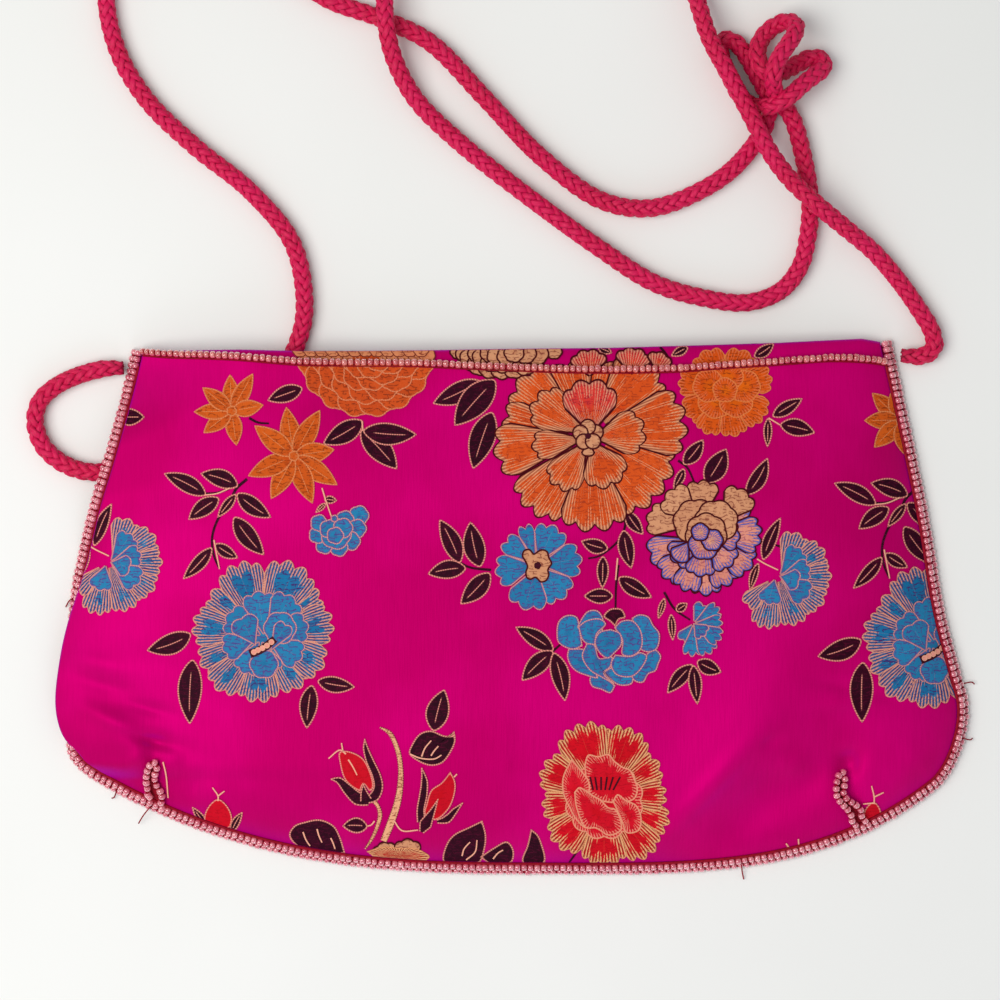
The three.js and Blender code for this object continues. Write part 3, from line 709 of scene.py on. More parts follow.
def front_height(x, y):
    """The front's outer surface over the plan: the rim, the bulge over the left seam and the lift of
    the cord underneath, plus the puff, which grows inwards and takes the belly, folds and pinches."""
    up = np.where(x < 0, (y - CORNER_LEFT) / (TOP_LEFT - CORNER_LEFT), -1.0)
    inset = FRONT_INSET * (1 - cover_spread(up))
    away = np.maximum(0, distance_to(OUTLINE, x, y) - inset)
    fade = np.exp(-away / PUFF_REACH)
    puff = 1 - fade
    slack = 1 - MOUTH_SLACK * smooth((y / PURSE_HEIGHT - 0.2) / 0.25)
    belly = np.cos(np.pi * x / PURSE_WIDTH) * np.cos(np.pi * (y + 8) / (1.3 * PURSE_HEIGHT))
    pinch = sum(DART_DEPTH * np.exp(-((distance_to(line, x, y) / DART_WIDTH) ** 2)) for line in DART_LINES)
    swell = PUFF * slack + BELLY * belly + fold_height(x, y) + crease_height(x, y)
    soft = puff * swell - np.sqrt(puff) * pinch
    return RIM_TOP + COVER_RISE * cover_rise(up) * fade + lift(x, y) * (1 - 0.65 * puff) + soft


print("height in the middle:", round(float(front_height(np.array([0.0]), np.array([0.0]))[0]), 1), "mm")

# %% [markdown]
# ## Silk satin
#
# Satin is woven so that long threads of one direction cover the face. They lie side by side and
# shine, so the cloth has a fine upright grain and a soft gloss. Where it slopes, a painted violet
# sheen in its colour turns it from fuchsia towards violet. The node group below gives the grain once,
# for the front and the back. The painted violet follows the slope of the cloth itself, so it stays in
# place from every side, and a weaker share of it follows the slant at which the cloth is seen.

# %% Satin grain
grain_group, start, end = new_group(
    "satin_grain",
    [("Threads per metre", NUMBER, 2600.0), ("Length along", NUMBER, 160.0)],
    [("Threads", NUMBER), ("Clouds", NUMBER)],
)
place = node(grain_group, "ShaderNodeTexCoord").outputs["Object"]
scale = node(
    grain_group, "ShaderNodeCombineXYZ",
    {"X": start.outputs[0], "Y": start.outputs[1], "Z": start.outputs[1]},
)
pair = {0: place, 1: scale.outputs[0]}
fine = node(grain_group, "ShaderNodeVectorMath", pair, operation="MULTIPLY").outputs[0]
grain_group.links.new(noise(grain_group, fine, 1.0, 1.0), end.inputs[0])
grain_group.links.new(noise(grain_group, place, 26.0, 3.0), end.inputs[1])


def satin(name, deep, bright, rough):
    """Plain satin between two thread colours, with a painted violet sheen where the cloth is turned from
    level, and a weaker one where it is seen at a slant.
    """
    made, graph, principled = new_material(
        name, Roughness=rough, Metallic=0.18, Sheen_Weight=0.08, Sheen_Roughness=0.4, Specular_IOR_Level=0.2
    )
    principled.inputs["Sheen Tint"].default_value = paint(200, 0, 255)
    principled.inputs["Specular Tint"].default_value = paint(255, 0, 150)
    grain = node(graph, "ShaderNodeGroup", node_tree=grain_group)
    tone = blend(graph, remap(graph, grain.outputs[1], 0.35, 0.7), deep, bright)
    tone = blend(graph, remap(graph, grain.outputs[0], 0.3, 0.75, 0.0, 0.09), tone, paint(120, 0, 60))
    # Painted sheen: the colour turns violet where the cloth is turned from level, by its own normal.
    normal = node(graph, "ShaderNodeTexCoord").outputs["Normal"]
    upright = node(graph, "ShaderNodeSeparateXYZ", {0: normal}).outputs["Z"]
    turned = maths(graph, "SUBTRACT", 1.0, maths(graph, "ABSOLUTE", upright))
    tone = blend(graph, remap(graph, turned, 0.12, 0.45, 0.0, 0.45), tone, paint(160, 0, 185))
    # Painted sheen: a weaker violet where the cloth is seen at a slant.
    slant = node(graph, "ShaderNodeLayerWeight", {"Blend": 0.5}).outputs["Facing"]
    tone = blend(graph, remap(graph, slant, 0.35, 0.95, 0.0, 0.35), tone, paint(186, 0, 205))
    graph.links.new(tone, principled.inputs["Base Color"])
    bump(graph, principled, grain.outputs[0], 0.25, 0.00012)
    return made


front_satin = satin("fuchsia_satin", paint(183, 0, 92), paint(200, 0, 108), 0.5)
back_satin = satin("fuchsia_satin_back", paint(185, 0, 92), paint(199, 0, 107), 0.48)


# %% [markdown]
# ## The front and back panels
#
# Each panel is a closed wall: an outer grid of points and an inner one under it, joined round
# their border. At the mouth the front's last rows roll over and down into the opening.


# %% Panels
def wall_faces(rows, columns):
    """Faces of an outer grid, an inner grid numbered after it, and the strip that joins their borders."""
    count = rows * columns
    outer = grid_faces(rows, columns)
    inner = grid_faces(rows, columns, count)[:, ::-1]
    rim = np.concatenate([
        np.arange(columns),
        np.arange(2, rows + 1) * columns - 1,
        np.arange(rows * columns - 2, (rows - 1) * columns - 1, -1),
        np.arange(rows - 2, 0, -1) * columns,
    ])
    after = np.roll(rim, -1)
    border = np.stack([after, rim, rim + count, after + count], axis=1)
    return np.vstack([outer, inner, border])


FRONT_COLUMNS = 230
FRONT_ROWS = 136
LIP_ROWS = 12


def front_grid(u, v):
    """Plan of the front: u from the left side to the right, v from the bottom to the mouth."""
    return coons(
        u, v,
        lambda t: inset_point(1 - t, FRONT_INSET * (1 - cover_spread(t))),
        lambda t: inset_point(2 + t, FRONT_INSET),
        lambda t: inset_point(1 + t, FRONT_INSET),
        lambda t: mouth_row(t, FRONT_INSET),
    )


def lip_points(u, turn, inner=False):
    """The fold at the mouth: from the bead row it rolls forward by its band and down by its drop."""
    x, y = mouth_row(u, FRONT_INSET)
    z = front_height(x, y)
    band = fold_band(u)
    drop = lerp(CLOTH, LIP_DROP, mouth_sag(u) / MOUTH_DIP)
    reach, roll = np.sin(turn * np.pi / 2), 1 - np.cos(turn * np.pi / 2)
    if inner:
        band = np.maximum(band - CLOTH, 0.15 * band)
        z, drop = z - CLOTH, drop - CLOTH
    return np.stack([x + 0 * turn, y + band * reach, z - drop * roll], axis=-1)


u = (1 - np.cos(np.linspace(0, np.pi, FRONT_COLUMNS))) / 2
u = lerp(np.linspace(0, 1, FRONT_COLUMNS), u, 0.45)
v = np.linspace(0, 1, FRONT_ROWS) ** 1.25
x, y = front_grid(u, v)
outer = np.stack([x, y, front_height(x, y)], axis=-1)
inner = outer - [0, 0, CLOTH]
turn = np.linspace(0, 1, LIP_ROWS + 1)[1:, None]
outer = np.vstack([outer, lip_points(u[None, :], turn)])
inner = np.vstack([inner, lip_points(u[None, :], turn, inner=True)])
points = np.vstack([outer.reshape(-1, 3), inner.reshape(-1, 3)])
front = add_piece("front_silk", points, wall_faces(len(outer), FRONT_COLUMNS), front_satin)
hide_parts("front_panel")

# %% Back
BACK_COLUMNS = 170
BACK_ROWS = 110
u, v = np.linspace(0, 1, BACK_COLUMNS), np.linspace(0, 1, BACK_ROWS) ** 1.25


def back_top(t):
    """The back's edge at the mouth, a little short of the front's fold."""
    px, py = mouth_row(t, BACK_INSET)
    return px, py + fold_band(t) - BACK_LIP_SETBACK


x, y = coons(
    u, v,
    lambda t: inset_point(1 - t, BACK_INSET + TUCK * cover_rise(t)),
    lambda t: inset_point(2 + t, BACK_INSET),
    lambda t: inset_point(1 + t, BACK_INSET),
    back_top,
)
under = np.stack([x, y, lift(x, y)], axis=-1)
points = np.vstack([(under + [0, 0, CLOTH]).reshape(-1, 3), under.reshape(-1, 3)])
back = add_piece("back_silk", points, wall_faces(BACK_ROWS, BACK_COLUMNS), back_satin)
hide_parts("back_panel")

# %% [markdown]
# ## The woven pattern
#
# Brocade is satin with extra coloured threads that come to the face only where a flower or a leaf
# is wanted. Such a float stands a tenth of a millimetre proud and is edged by a dotted line of pale
# stitches. A printed picture would be flat and coarse from near, so each petal and leaf is a thin
# mesh laid on the silk. It knows how far each of its points is from its own edge and midrib, which
# is what the thread pattern needs.
#
# The flowers are a traditional mix of peonies, chrysanthemums, small blossoms and sprigs. They are
# placed from the photograph: a place is a column and row of the picture, and one function turns it
# into millimetres on the silk, allowing for how much nearer to the camera the padded silk stands.

# %% From picture to silk
FLOAT_PROUD = 0.13
FLOAT_LAYER = 0.012
SILK_HEIGHT_GUESS = 10.0
EDGE_MARGIN = 0.15  # between the seam or the foot and what lies on the silk
FOLD_SHARE = 0.97  # of the fold's band that the pattern may cover

side_t = np.linspace(0, 1, 200)
left_x, left_y = inset_point(1 - side_t, FRONT_INSET * (1 - cover_spread(side_t)))
right_x, right_y = inset_point(2 + side_t, FRONT_INSET)
foot_x, foot_y = inset_point(1 + side_t, FRONT_INSET)
mouth_x, mouth_y = mouth_row(side_t, FRONT_INSET)


def mouth_band(x):
    """How far the fold reaches past the mouth's bead row, at x."""
    return fold_band((x - mouth_x[0]) / (mouth_x[-1] - mouth_x[0]))


def silk_height(x, y):
    """Height of the silk at x, y: the front up to the bead row, and past it the rolled fold."""
    row = np.interp(x, mouth_x, mouth_y)
    band = mouth_band(x)
    drop = lerp(CLOTH, LIP_DROP, clamp((band - LIP_REACH) / MOUTH_DIP))
    over = clamp((y - row) / band)
    return front_height(x, np.minimum(y, row)) - drop * (1 - np.sqrt(1 - over**2))


def keep_inside(x, y):
    """The nearest place on the silk, straight across or up, and whether it had to move."""
    low = np.interp(y, left_y, left_x) + EDGE_MARGIN
    high = np.interp(y, right_y, right_x) - EDGE_MARGIN
    x_in = np.clip(x, low, high)
    floor_y = np.interp(x_in, foot_x, foot_y) + EDGE_MARGIN
    top_y = np.interp(x_in, mouth_x, mouth_y) + mouth_band(x_in) * FOLD_SHARE
    y_in = np.clip(y, floor_y, top_y)
    return x_in, y_in, (x_in != x) | (y_in != y)


def lay_on_silk(column, row, layer):
    """Picture places carried to the silk, a float's height above it, and which fell outside."""
    x, y = (column - MIDDLE_COLUMN) * PIXEL, (MIDDLE_ROW - row) * PIXEL
    near = 1 - SILK_HEIGHT_GUESS / CAMERA_HEIGHT
    for _ in range(2):
        px = VIEW_CENTRE[0] + (x - VIEW_CENTRE[0]) * near
        py = VIEW_CENTRE[1] + (y - VIEW_CENTRE[1]) * near
        px, py, outside = keep_inside(px, py)
        z = silk_height(px, py)
        near = 1 - z / CAMERA_HEIGHT
    return np.stack([px, py, z + FLOAT_PROUD + FLOAT_LAYER * layer], axis=-1), outside


# %% [markdown]
# Four kinds of patch make every motif. A leaf runs from its base to its tip with a width that
# swells and closes. A fan opens from an inner to an outer radius, and its rim is scalloped. A
# stroke is a ribbon along a line. A shape fills a smooth outline given by its own points, for the
# petals and leaves that are none of the others. Each patch also returns what the thread pattern
# reads.

# %% Patches
def picture_curve(places, steps):
    """A smooth line through places of the picture."""
    return curve_through(np.array([(*p, 0.0) for p in places], float), steps)[:, :2]


def leaf(tip, base, half_width, bend=0.0, blunt=0.78):
    """Width: half_width times the sine of pi t^0.85, to the power blunt; the midrib bends sideways."""
    a = np.linspace(-1, 1, 9)[None, :]
    t = ((1 - np.cos(np.linspace(0, np.pi, 19))) / 2)[:, None]
    axis = np.array(tip, float) - np.array(base, float)
    length = np.hypot(*axis)
    ux, uy = axis / length
    width = half_width * np.sin(np.pi * t**0.85) ** blunt
    slope = np.gradient(width[:, 0], t[:, 0])[:, None] / length
    side = a * width + bend * 4 * t * (1 - t)
    column = base[0] + axis[0] * t - uy * side
    row = base[1] + axis[1] * t + ux * side
    near = (1 - np.abs(a)) * width / np.sqrt(1 + slope**2) * PIXEL
    return dict(
        column=column, row=row, near=near + 0 * t, rib=np.abs(a) * width * PIXEL,
        along=length * t * PIXEL + 0 * a, spread=t + 0 * a, thread=a * width * PIXEL + 0 * t,
    )


def fan(x, y, degrees, inner, outer, spread, lobes=3, depth=0.08, waist=0.9, round_off=0.16):
    """Radius: outer less the scallops and less a share that rounds the two corners; angle: narrower
    at the inner end by waist. Angles are counted as on a map, anticlockwise from the right."""
    a = np.linspace(-1, 1, 8 * max(2, lobes) + 1)[None, :]
    t = np.linspace(0, 1, 11)[:, None] ** 0.85
    whole = spread >= 180
    rim = outer * (1 - depth * (1 - np.abs(np.cos(lobes * np.pi * a / 2 + (0 if lobes % 2 else np.pi / 2)))))
    if not whole:
        rim = rim * (1 - round_off * np.abs(a) ** 3)
    radius = inner + (rim - inner) * t
    opening = 1.0 if whole else waist + (1 - waist) * np.sin(np.pi / 2 * t)
    angle = np.radians(degrees + spread * a * opening)
    column = x + radius * np.cos(angle)
    row = y - radius * np.sin(angle)
    near = rim - radius
    if not whole:
        near = np.minimum(near, (1 - np.abs(a)) * np.radians(spread) * opening * radius)
    return dict(
        column=column, row=row, near=near * PIXEL, rib=np.abs(a) * np.radians(spread) * radius * PIXEL,
        along=(np.radians(spread) * a * outer + radius) * PIXEL, spread=t + 0 * a,
        thread=np.radians(spread) * a * (0.6 * outer + 0.4 * radius) * PIXEL,
    )


def stroke(places, *widths):
    """A ribbon along a smooth line through the places; the widths are spread evenly along it."""
    line = picture_curve(places, 8)
    ahead = unit(np.gradient(line, axis=0))
    a = np.linspace(-1, 1, 5)[None, :]
    t = np.linspace(0, 1, len(line))[:, None]
    half = np.interp(t, np.linspace(0, 1, len(widths)), widths) / 2
    walked = walk(line)[:, None]
    return dict(
        column=line[:, :1] - ahead[:, 1:] * a * half, row=line[:, 1:] + ahead[:, :1] * a * half,
        near=(1 - np.abs(a)) * half * PIXEL, rib=np.abs(a) * half * PIXEL, along=walked * PIXEL + 0 * a,
        spread=t + 0 * a, thread=a * half * PIXEL,
    )


NO_RIB = 9.0  # a distance from the midrib that no finish's rib reaches


def shape(centre, *outline):
    """The inside of a smooth outline that starts at its sharpest corner: rays from the centre to it.
    The distance from the edge is measured to the outline itself."""
    edge = picture_curve(outline + outline[:1], 5)
    t = np.linspace(0, 1, 9)[:, None]
    column, row = lerp(centre[0], edge[:, 0], t), lerp(centre[1], edge[:, 1], t)
    walked = walk(edge)[None, :] * PIXEL + 0 * t
    near = distance_to(edge, column, row) * PIXEL
    return dict(
        column=column, row=row, near=near, rib=near + NO_RIB, along=walked, spread=t + 0 * walked,
        thread=walked,
    )


PATCH_VALUES = ("near", "rib", "along", "spread", "thread")


def weave_piece(name, flowers, material, layer):
    """All the flowers' patches as one mesh. Within a flower each lies a layer above the last, so
    that petals overlap."""
    points, faces, values = [], [], {key: [] for key in (*PATCH_VALUES, "tone")}
    first = 0
    numbered = [(number, patch) for patches in flowers for number, patch in enumerate(patches)]
    for number, patch in numbered:
        place, outside = lay_on_silk(patch["column"], patch["row"], layer + number)
        rows, columns = outside.shape
        quads = grid_faces(rows, columns)
        keep = ~outside.ravel()[quads].all(axis=1)
        if not keep.any():
            continue
        quads = quads[keep]
        a, b, c = (place.reshape(-1, 3)[quads[:, k]] for k in (0, 1, 2))
        if np.cross(b - a, c - a)[:, 2].sum() < 0:
            quads = quads[:, ::-1]
        points.append(place.reshape(-1, 3))
        faces.append(quads + first)
        for key in PATCH_VALUES:
            values[key].append(np.broadcast_to(patch[key], outside.shape).ravel())
        values["tone"].append(np.full(rows * columns, (len(points) * 0.618) % 1.0))
        first += rows * columns
    values = {key: np.concatenate(parts) for key, parts in values.items()}
    piece = add_piece(name, np.vstack(points), np.vstack(faces), material, attributes=values)
    return piece


# %% [markdown]
# The thread pattern is one node group for all the motifs. From the outside of a patch inwards it
# has a dotted line of stitches, a rim, and the body with short dark ties where a weft thread is
# caught down. Long pale stitches of uneven length may run in from the rim like a comb, with dark
# notches between them. A heart colour lies at the inner end, and a rib may run down the middle.

# %% Thread pattern
floats_group, start, end = new_group(
    "woven_floats",
    [
        ("Heart", COLOUR, paint(200, 90, 40)), ("Body", COLOUR, paint(215, 110, 40)),
        ("Rim", COLOUR, paint(240, 180, 130)), ("Line", COLOUR, paint(240, 170, 130)),
        ("Tie", COLOUR, paint(120, 50, 30)), ("Heart reach", NUMBER, 0.3), ("Rim width", NUMBER, 1.0),
        ("Line width", NUMBER, 0.4), ("Comb", NUMBER, 0.0), ("Rib width", NUMBER, 0.0), ("Ties", NUMBER, 0.6),
        ("Notch", NUMBER, 0.0), ("Even", NUMBER, 0.3), ("Dots", NUMBER, 1.0),
    ],
    [("Color", COLOUR), ("Height", NUMBER)],
)
given = start.outputs
near, rib, along, spread, across, tone = (
    attribute(floats_group, label) for label in ("near", "rib", "along", "spread", "thread", "tone")
)
place = node(floats_group, "ShaderNodeTexCoord").outputs["Object"]


def calc(operation, *values):
    """One step of arithmetic in the thread pattern."""
    return maths(floats_group, operation, *values)


def carry(value, *ends):
    """A remap in the thread pattern."""
    return remap(floats_group, value, *ends)


def mix(*inputs):
    """A blend in the thread pattern."""
    return blend(floats_group, *inputs)


print("thread pattern reads", ", ".join(PATCH_VALUES), "and tone")

# %% [markdown]
# The comb comes from the distance across the patch: each spacing holds one stitch, whose length is
# drawn by chance from its number. Where the rim or the comb stands, its pale colour covers the body.

# %% Rim, comb and notches
COMB_SPACING = 0.88  # of the long pale stitches that run in from a rim
grains = calc("DIVIDE", across, COMB_SPACING)
slot_number = calc("ADD", calc("FLOOR", grains, 0.0), calc("MULTIPLY", tone, 57.0))
chance_node = node(floats_group, "ShaderNodeTexWhiteNoise", {"W": slot_number}, noise_dimensions="1D")
luck = chance_node.outputs["Value"]
stripe = carry(calc("PINGPONG", grains, 0.5), 0.17, 0.3, 1.0, 0.0)
ragged = calc("MULTIPLY", calc("SUBTRACT", 1.0, given["Even"]), calc("MULTIPLY", luck, luck))
comb_reach = calc("MULTIPLY", given["Comb"], calc("ADD", given["Even"], ragged))
within = carry(calc("SUBTRACT", near, comb_reach), -0.25, 0.1, 1.0, 0.0)
stitches = calc("ADD", calc("DIVIDE", near, 0.95), calc("MULTIPLY", luck, 3.0))
whole = carry(calc("PINGPONG", stitches, 0.5), 0.05, 0.14, 0.15, 1.0)
comb_mask = calc("MULTIPLY", calc("MULTIPLY", stripe, within), whole)
fleck = noise(floats_group, place, 2300.0, 1.0)
rim_share = calc("DIVIDE", near, given["Rim width"])
rim_mask = carry(rim_share, 0.8, 1.2, 1.0, 0.0)
even_reach = calc("MULTIPLY", given["Comb"], given["Even"])
shade_zone = carry(calc("SUBTRACT", near, even_reach), -0.4, 0.3, 0.55, 0.0)
notch = calc("MAXIMUM", rim_mask, shade_zone)
notch = calc("MULTIPLY", calc("SUBTRACT", 1.0, stripe), notch)

# %% [markdown]
# The dark ties are the joints of a brick pattern, bent a little by one noise so that their rows
# stray, and worn away in places by another.

# %% Heart and ties
TIE_LENGTH = 3.4  # from one upright joint to the next
TIE_ROW = 0.88  # from one level joint to the next
TIE_WIDTH = 0.13
TIE_WANDER = 0.0022  # in metres
heart_depth = calc("ADD", spread, calc("MULTIPLY", luck, 0.16))
heart_share = calc("DIVIDE", heart_depth, given["Heart reach"])
heart_mask = carry(heart_share, 0.7, 1.5, 1.0, 0.0)
cloud = {"Vector": place, "Scale": 420.0, "Detail": 1.0}
wander = node(floats_group, "ShaderNodeTexNoise", cloud).outputs["Color"]
stray = {0: wander, 1: (TIE_WANDER, TIE_WANDER, 0.0)}
wander = node(floats_group, "ShaderNodeVectorMath", stray, operation="MULTIPLY").outputs[0]
bent = node(floats_group, "ShaderNodeVectorMath", {0: place, 1: wander}, operation="ADD").outputs[0]
brick = node(
    floats_group, "ShaderNodeTexBrick",
    {
        "Vector": bent, "Color1": (0, 0, 0, 1), "Color2": (0.3, 0.3, 0.3, 1), "Mortar": (1, 1, 1, 1),
        "Scale": 1.0, "Mortar Size": TIE_WIDTH * MM, "Mortar Smooth": 0.4, "Brick Width": TIE_LENGTH * MM,
        "Row Height": TIE_ROW * MM,
    },
)
worn = carry(noise(floats_group, place, 760.0, 2.0), 0.42, 0.54)
tie_mask = calc("MULTIPLY", calc("MULTIPLY", brick.outputs["Color"], worn), given["Ties"])
colour = mix(heart_mask, given["Body"], given["Heart"])
lit = mix(carry(tone, 0.0, 1.0, 0.0, 0.22), colour, (1.0, 1.0, 1.0, 1.0), "SOFT_LIGHT")
colour = mix(tie_mask, lit, given["Tie"])
colour = mix(calc("MAXIMUM", comb_mask, rim_mask), colour, given["Rim"])
colour = mix(calc("MULTIPLY", notch, given["Notch"]), colour, given["Tie"])

# %% Edge line, rib and relief
HALF_STITCH = 0.31  # of the dotted line
stitch = calc("PINGPONG", along, HALF_STITCH)
dotted = carry(stitch, 0.05, 0.2, 0.6, 0.0)
dotted = calc("SUBTRACT", 1.0, calc("MULTIPLY", dotted, given["Dots"]))
line_mask = carry(calc("DIVIDE", near, given["Line width"]), 0.75, 1.2, 1.0, 0.0)
rib_end = calc("ABSOLUTE", calc("SUBTRACT", spread, 0.5))
rib_end = carry(rib_end, 0.24, 0.32, 1.0, 0.0)
rib_mask = carry(calc("SUBTRACT", rib, given["Rib width"]), -0.06, 0.05, 1.0, 0.0)
rib_mask = calc("MULTIPLY", rib_mask, rib_end)
line_mask = calc("MULTIPLY", calc("MAXIMUM", line_mask, rib_mask), dotted)
colour = mix(line_mask, colour, given["Line"])
floats_group.links.new(colour, end.inputs["Color"])
raised = calc("ADD", calc("ADD", fleck, line_mask), comb_mask)
raised = calc("SUBTRACT", raised, calc("ADD", tie_mask, notch))
floats_group.links.new(raised, end.inputs["Height"])
print("thread pattern:", len(floats_group.nodes), "nodes")

# %% [markdown]
# Every motif's finish is that group with its own colours and widths, set after the photograph.

# %% Finishes of the motifs
def floats(name, heart, body, rim, line, tie, **numbers):
    """A motif's finish: its colours, and widths in millimetres by their labels in the group."""
    made, graph, principled = new_material(name, Roughness=0.6, Specular_IOR_Level=0.07)
    threads = node(graph, "ShaderNodeGroup", node_tree=floats_group)
    for label, value in zip(("Heart", "Body", "Rim", "Line", "Tie"), (heart, body, rim, line, tie)):
        threads.inputs[label].default_value = paint(*value)
    for label, value in numbers.items():
        threads.inputs[label.replace("_", " ")].default_value = value
    graph.links.new(threads.outputs["Color"], principled.inputs["Base Color"])
    bump(graph, principled, threads.outputs["Height"], 0.5, 0.00015)
    return made


PALE = (232, 146, 128)
PLUM = (40, 0, 18)
MAROON = (70, 0, 12)
plum_leaf = floats(
    "plum_leaf", (46, 0, 20), PLUM, PLUM, PALE, (90, 4, 42),
    Heart_reach=0.3, Rim_width=0.2, Line_width=0.36, Rib_width=0.13, Ties=0.5,
)
plum_stem = floats(
    "plum_stem", PLUM, PLUM, PLUM, (84, 10, 36), (96, 16, 62),
    Heart_reach=0.1, Rim_width=0.05, Line_width=0.12, Ties=0.5,
)
pale_thread = floats(
    "pale_thread", PALE, PALE, PALE, (236, 170, 140), (200, 70, 90),
    Heart_reach=0.1, Rim_width=0.05, Line_width=0.3, Ties=0.2,
)
cream_stem = floats(
    "cream_stem", (226, 160, 118), (226, 160, 118), (230, 166, 126), (100, 20, 24), (140, 60, 44),
    Heart_reach=0.1, Rim_width=0.2, Line_width=0.16, Ties=0.9,
)
orange_petal = floats(
    "orange_petal", (190, 70, 14), (199, 82, 20), (204, 96, 44), (220, 134, 84), (104, 34, 10),
    Heart_reach=0.25, Rim_width=0.2, Line_width=0.34, Comb=1.6, Rib_width=0.1, Ties=0.7,
)
peony_orange = floats(
    "peony_orange", (204, 62, 14), (206, 74, 22), (226, 150, 108), MAROON, (122, 30, 24),
    Heart_reach=0.35, Rim_width=1.4, Line_width=0.46, Comb=7.0, Ties=0.55, Notch=0.7, Even=0.24, Dots=0.0,
)
peony_salmon = floats(
    "peony_salmon", (200, 62, 14), (206, 50, 44), (222, 140, 112), MAROON, (128, 10, 40),
    Heart_reach=0.5, Rim_width=1.1, Line_width=0.55, Comb=6.0, Ties=0.65, Notch=0.7, Even=0.3, Dots=0.0,
)
scale_orange = floats(
    "scale_orange", (188, 60, 18), (196, 72, 24), (206, 96, 50), (222, 134, 94), (110, 34, 16),
    Heart_reach=0.3, Rim_width=0.3, Line_width=0.32, Comb=1.0, Ties=0.75,
)
scale_salmon = floats(
    "scale_salmon", (208, 122, 78), (212, 128, 86), (218, 138, 98), (122, 44, 30), (128, 44, 26),
    Heart_reach=0.3, Rim_width=0.3, Line_width=0.24, Ties=0.8, Dots=0.0,
)
rose_orange = floats(
    "rose_orange", (212, 88, 6), (206, 76, 12), (222, 108, 64), (228, 126, 62), (120, 38, 10),
    Heart_reach=0.4, Rim_width=0.4, Line_width=0.3, Comb=3.2, Ties=0.75, Notch=0.3,
)
blue_outer = floats(
    "blue_outer", (14, 92, 136), (20, 104, 150), (220, 146, 126), (230, 156, 128), (64, 30, 100),
    Heart_reach=0.5, Rim_width=0.55, Line_width=0.34, Comb=3.6, Ties=1.0, Notch=0.9, Even=0.7,
)
blue_inner = floats(
    "blue_inner", (30, 104, 148), (32, 116, 160), (92, 84, 148), (226, 152, 136), (82, 50, 128),
    Heart_reach=0.3, Rim_width=0.5, Line_width=0.3, Comb=1.2, Ties=0.9, Notch=0.3,
)
red_outer = floats(
    "red_outer", (180, 0, 16), (196, 4, 24), (232, 170, 120), (226, 150, 100), (128, 0, 16),
    Heart_reach=0.5, Rim_width=0.9, Line_width=0.36, Comb=3.4, Ties=0.4, Notch=0.9, Even=0.6,
)
red_inner = floats(
    "red_inner", (194, 4, 24), (202, 8, 32), (232, 130, 110), (232, 152, 118), (132, 0, 18),
    Heart_reach=0.3, Rim_width=0.4, Line_width=0.32, Comb=2.2, Ties=0.4, Notch=0.2, Even=0.5,
)
beige_petal = floats(
    "beige_petal", (200, 132, 94), (204, 140, 102), (214, 152, 116), MAROON, (122, 46, 40),
    Heart_reach=0.3, Rim_width=0.4, Line_width=0.46, Ties=0.8, Dots=0.0,
)
lilac_petal = floats(
    "lilac_petal", (216, 144, 108), (214, 132, 112), (84, 92, 172), MAROON, (150, 62, 96),
    Heart_reach=0.4, Rim_width=0.75, Line_width=0.46, Comb=3.4, Ties=0.7, Even=0.5, Dots=0.0,
)
plum_sepal = floats(
    "plum_sepal", PLUM, PLUM, PLUM, PALE, (90, 4, 42),
    Rim_width=0.2, Line_width=0.33, Rib_width=-0.3, Ties=0.5,
)
red_bud = floats(
    "red_bud", (188, 2, 22), (192, 4, 28), (194, 6, 32), PALE, (150, 0, 20),
    Rim_width=0.2, Line_width=0.33, Rib_width=-0.3, Ties=0.4,
)
dark_eye = floats(
    "dark_eye", (60, 8, 24), (60, 8, 24), (60, 8, 24), (60, 8, 24), (90, 20, 40),
    Heart_reach=0.1, Rim_width=0.1, Line_width=0.1, Ties=0.3,
)

# %% [markdown]
# The leaves come first. Each row is a leaf's tip, its base, half its width, and how far its midrib
# bends. The silk's pattern repeats to the right, so the left side's sprig and some flowers return
# there, a repeat further on, and the seam cuts them off.

# %% Leaves
HOME = (0, 0)
SPRIG_REPEAT = (670.0, 9.5)
SPRIG_LEAVES = [
    ((164, 473.5), (206, 495), 9.0, 1.5), ((200.5, 473.5), (238, 486), 9.4, 2),
    ((188.5, 519.5), (219, 498), 9.0, 1),
    ((217.5, 517.5), (236, 494), 5.2, 0), ((271, 517.5), (237, 493.5), 9.2, 1.5),
    ((264, 555), (234, 517), 10.2, 1.5),
    ((183, 579), (212, 547.5), 7.2, -1), ((238, 558), (215, 544), 6.6, 1),
]
FAN_REPEAT = (669.0, 14.0)
FAN_LEAVES = [((111.7, 503.5), (94, 546), 7.2, -1.5), ((81, 577), (89.5, 549), 4.4, 1)]
PEONY_REPEAT = (670.5, 6.0)
PEONY_LEAVES = [((147, 650.5), (191, 634), 10.8, -2.5), ((189.8, 724), (192.6, 659.5), 12.4, 1.5)]
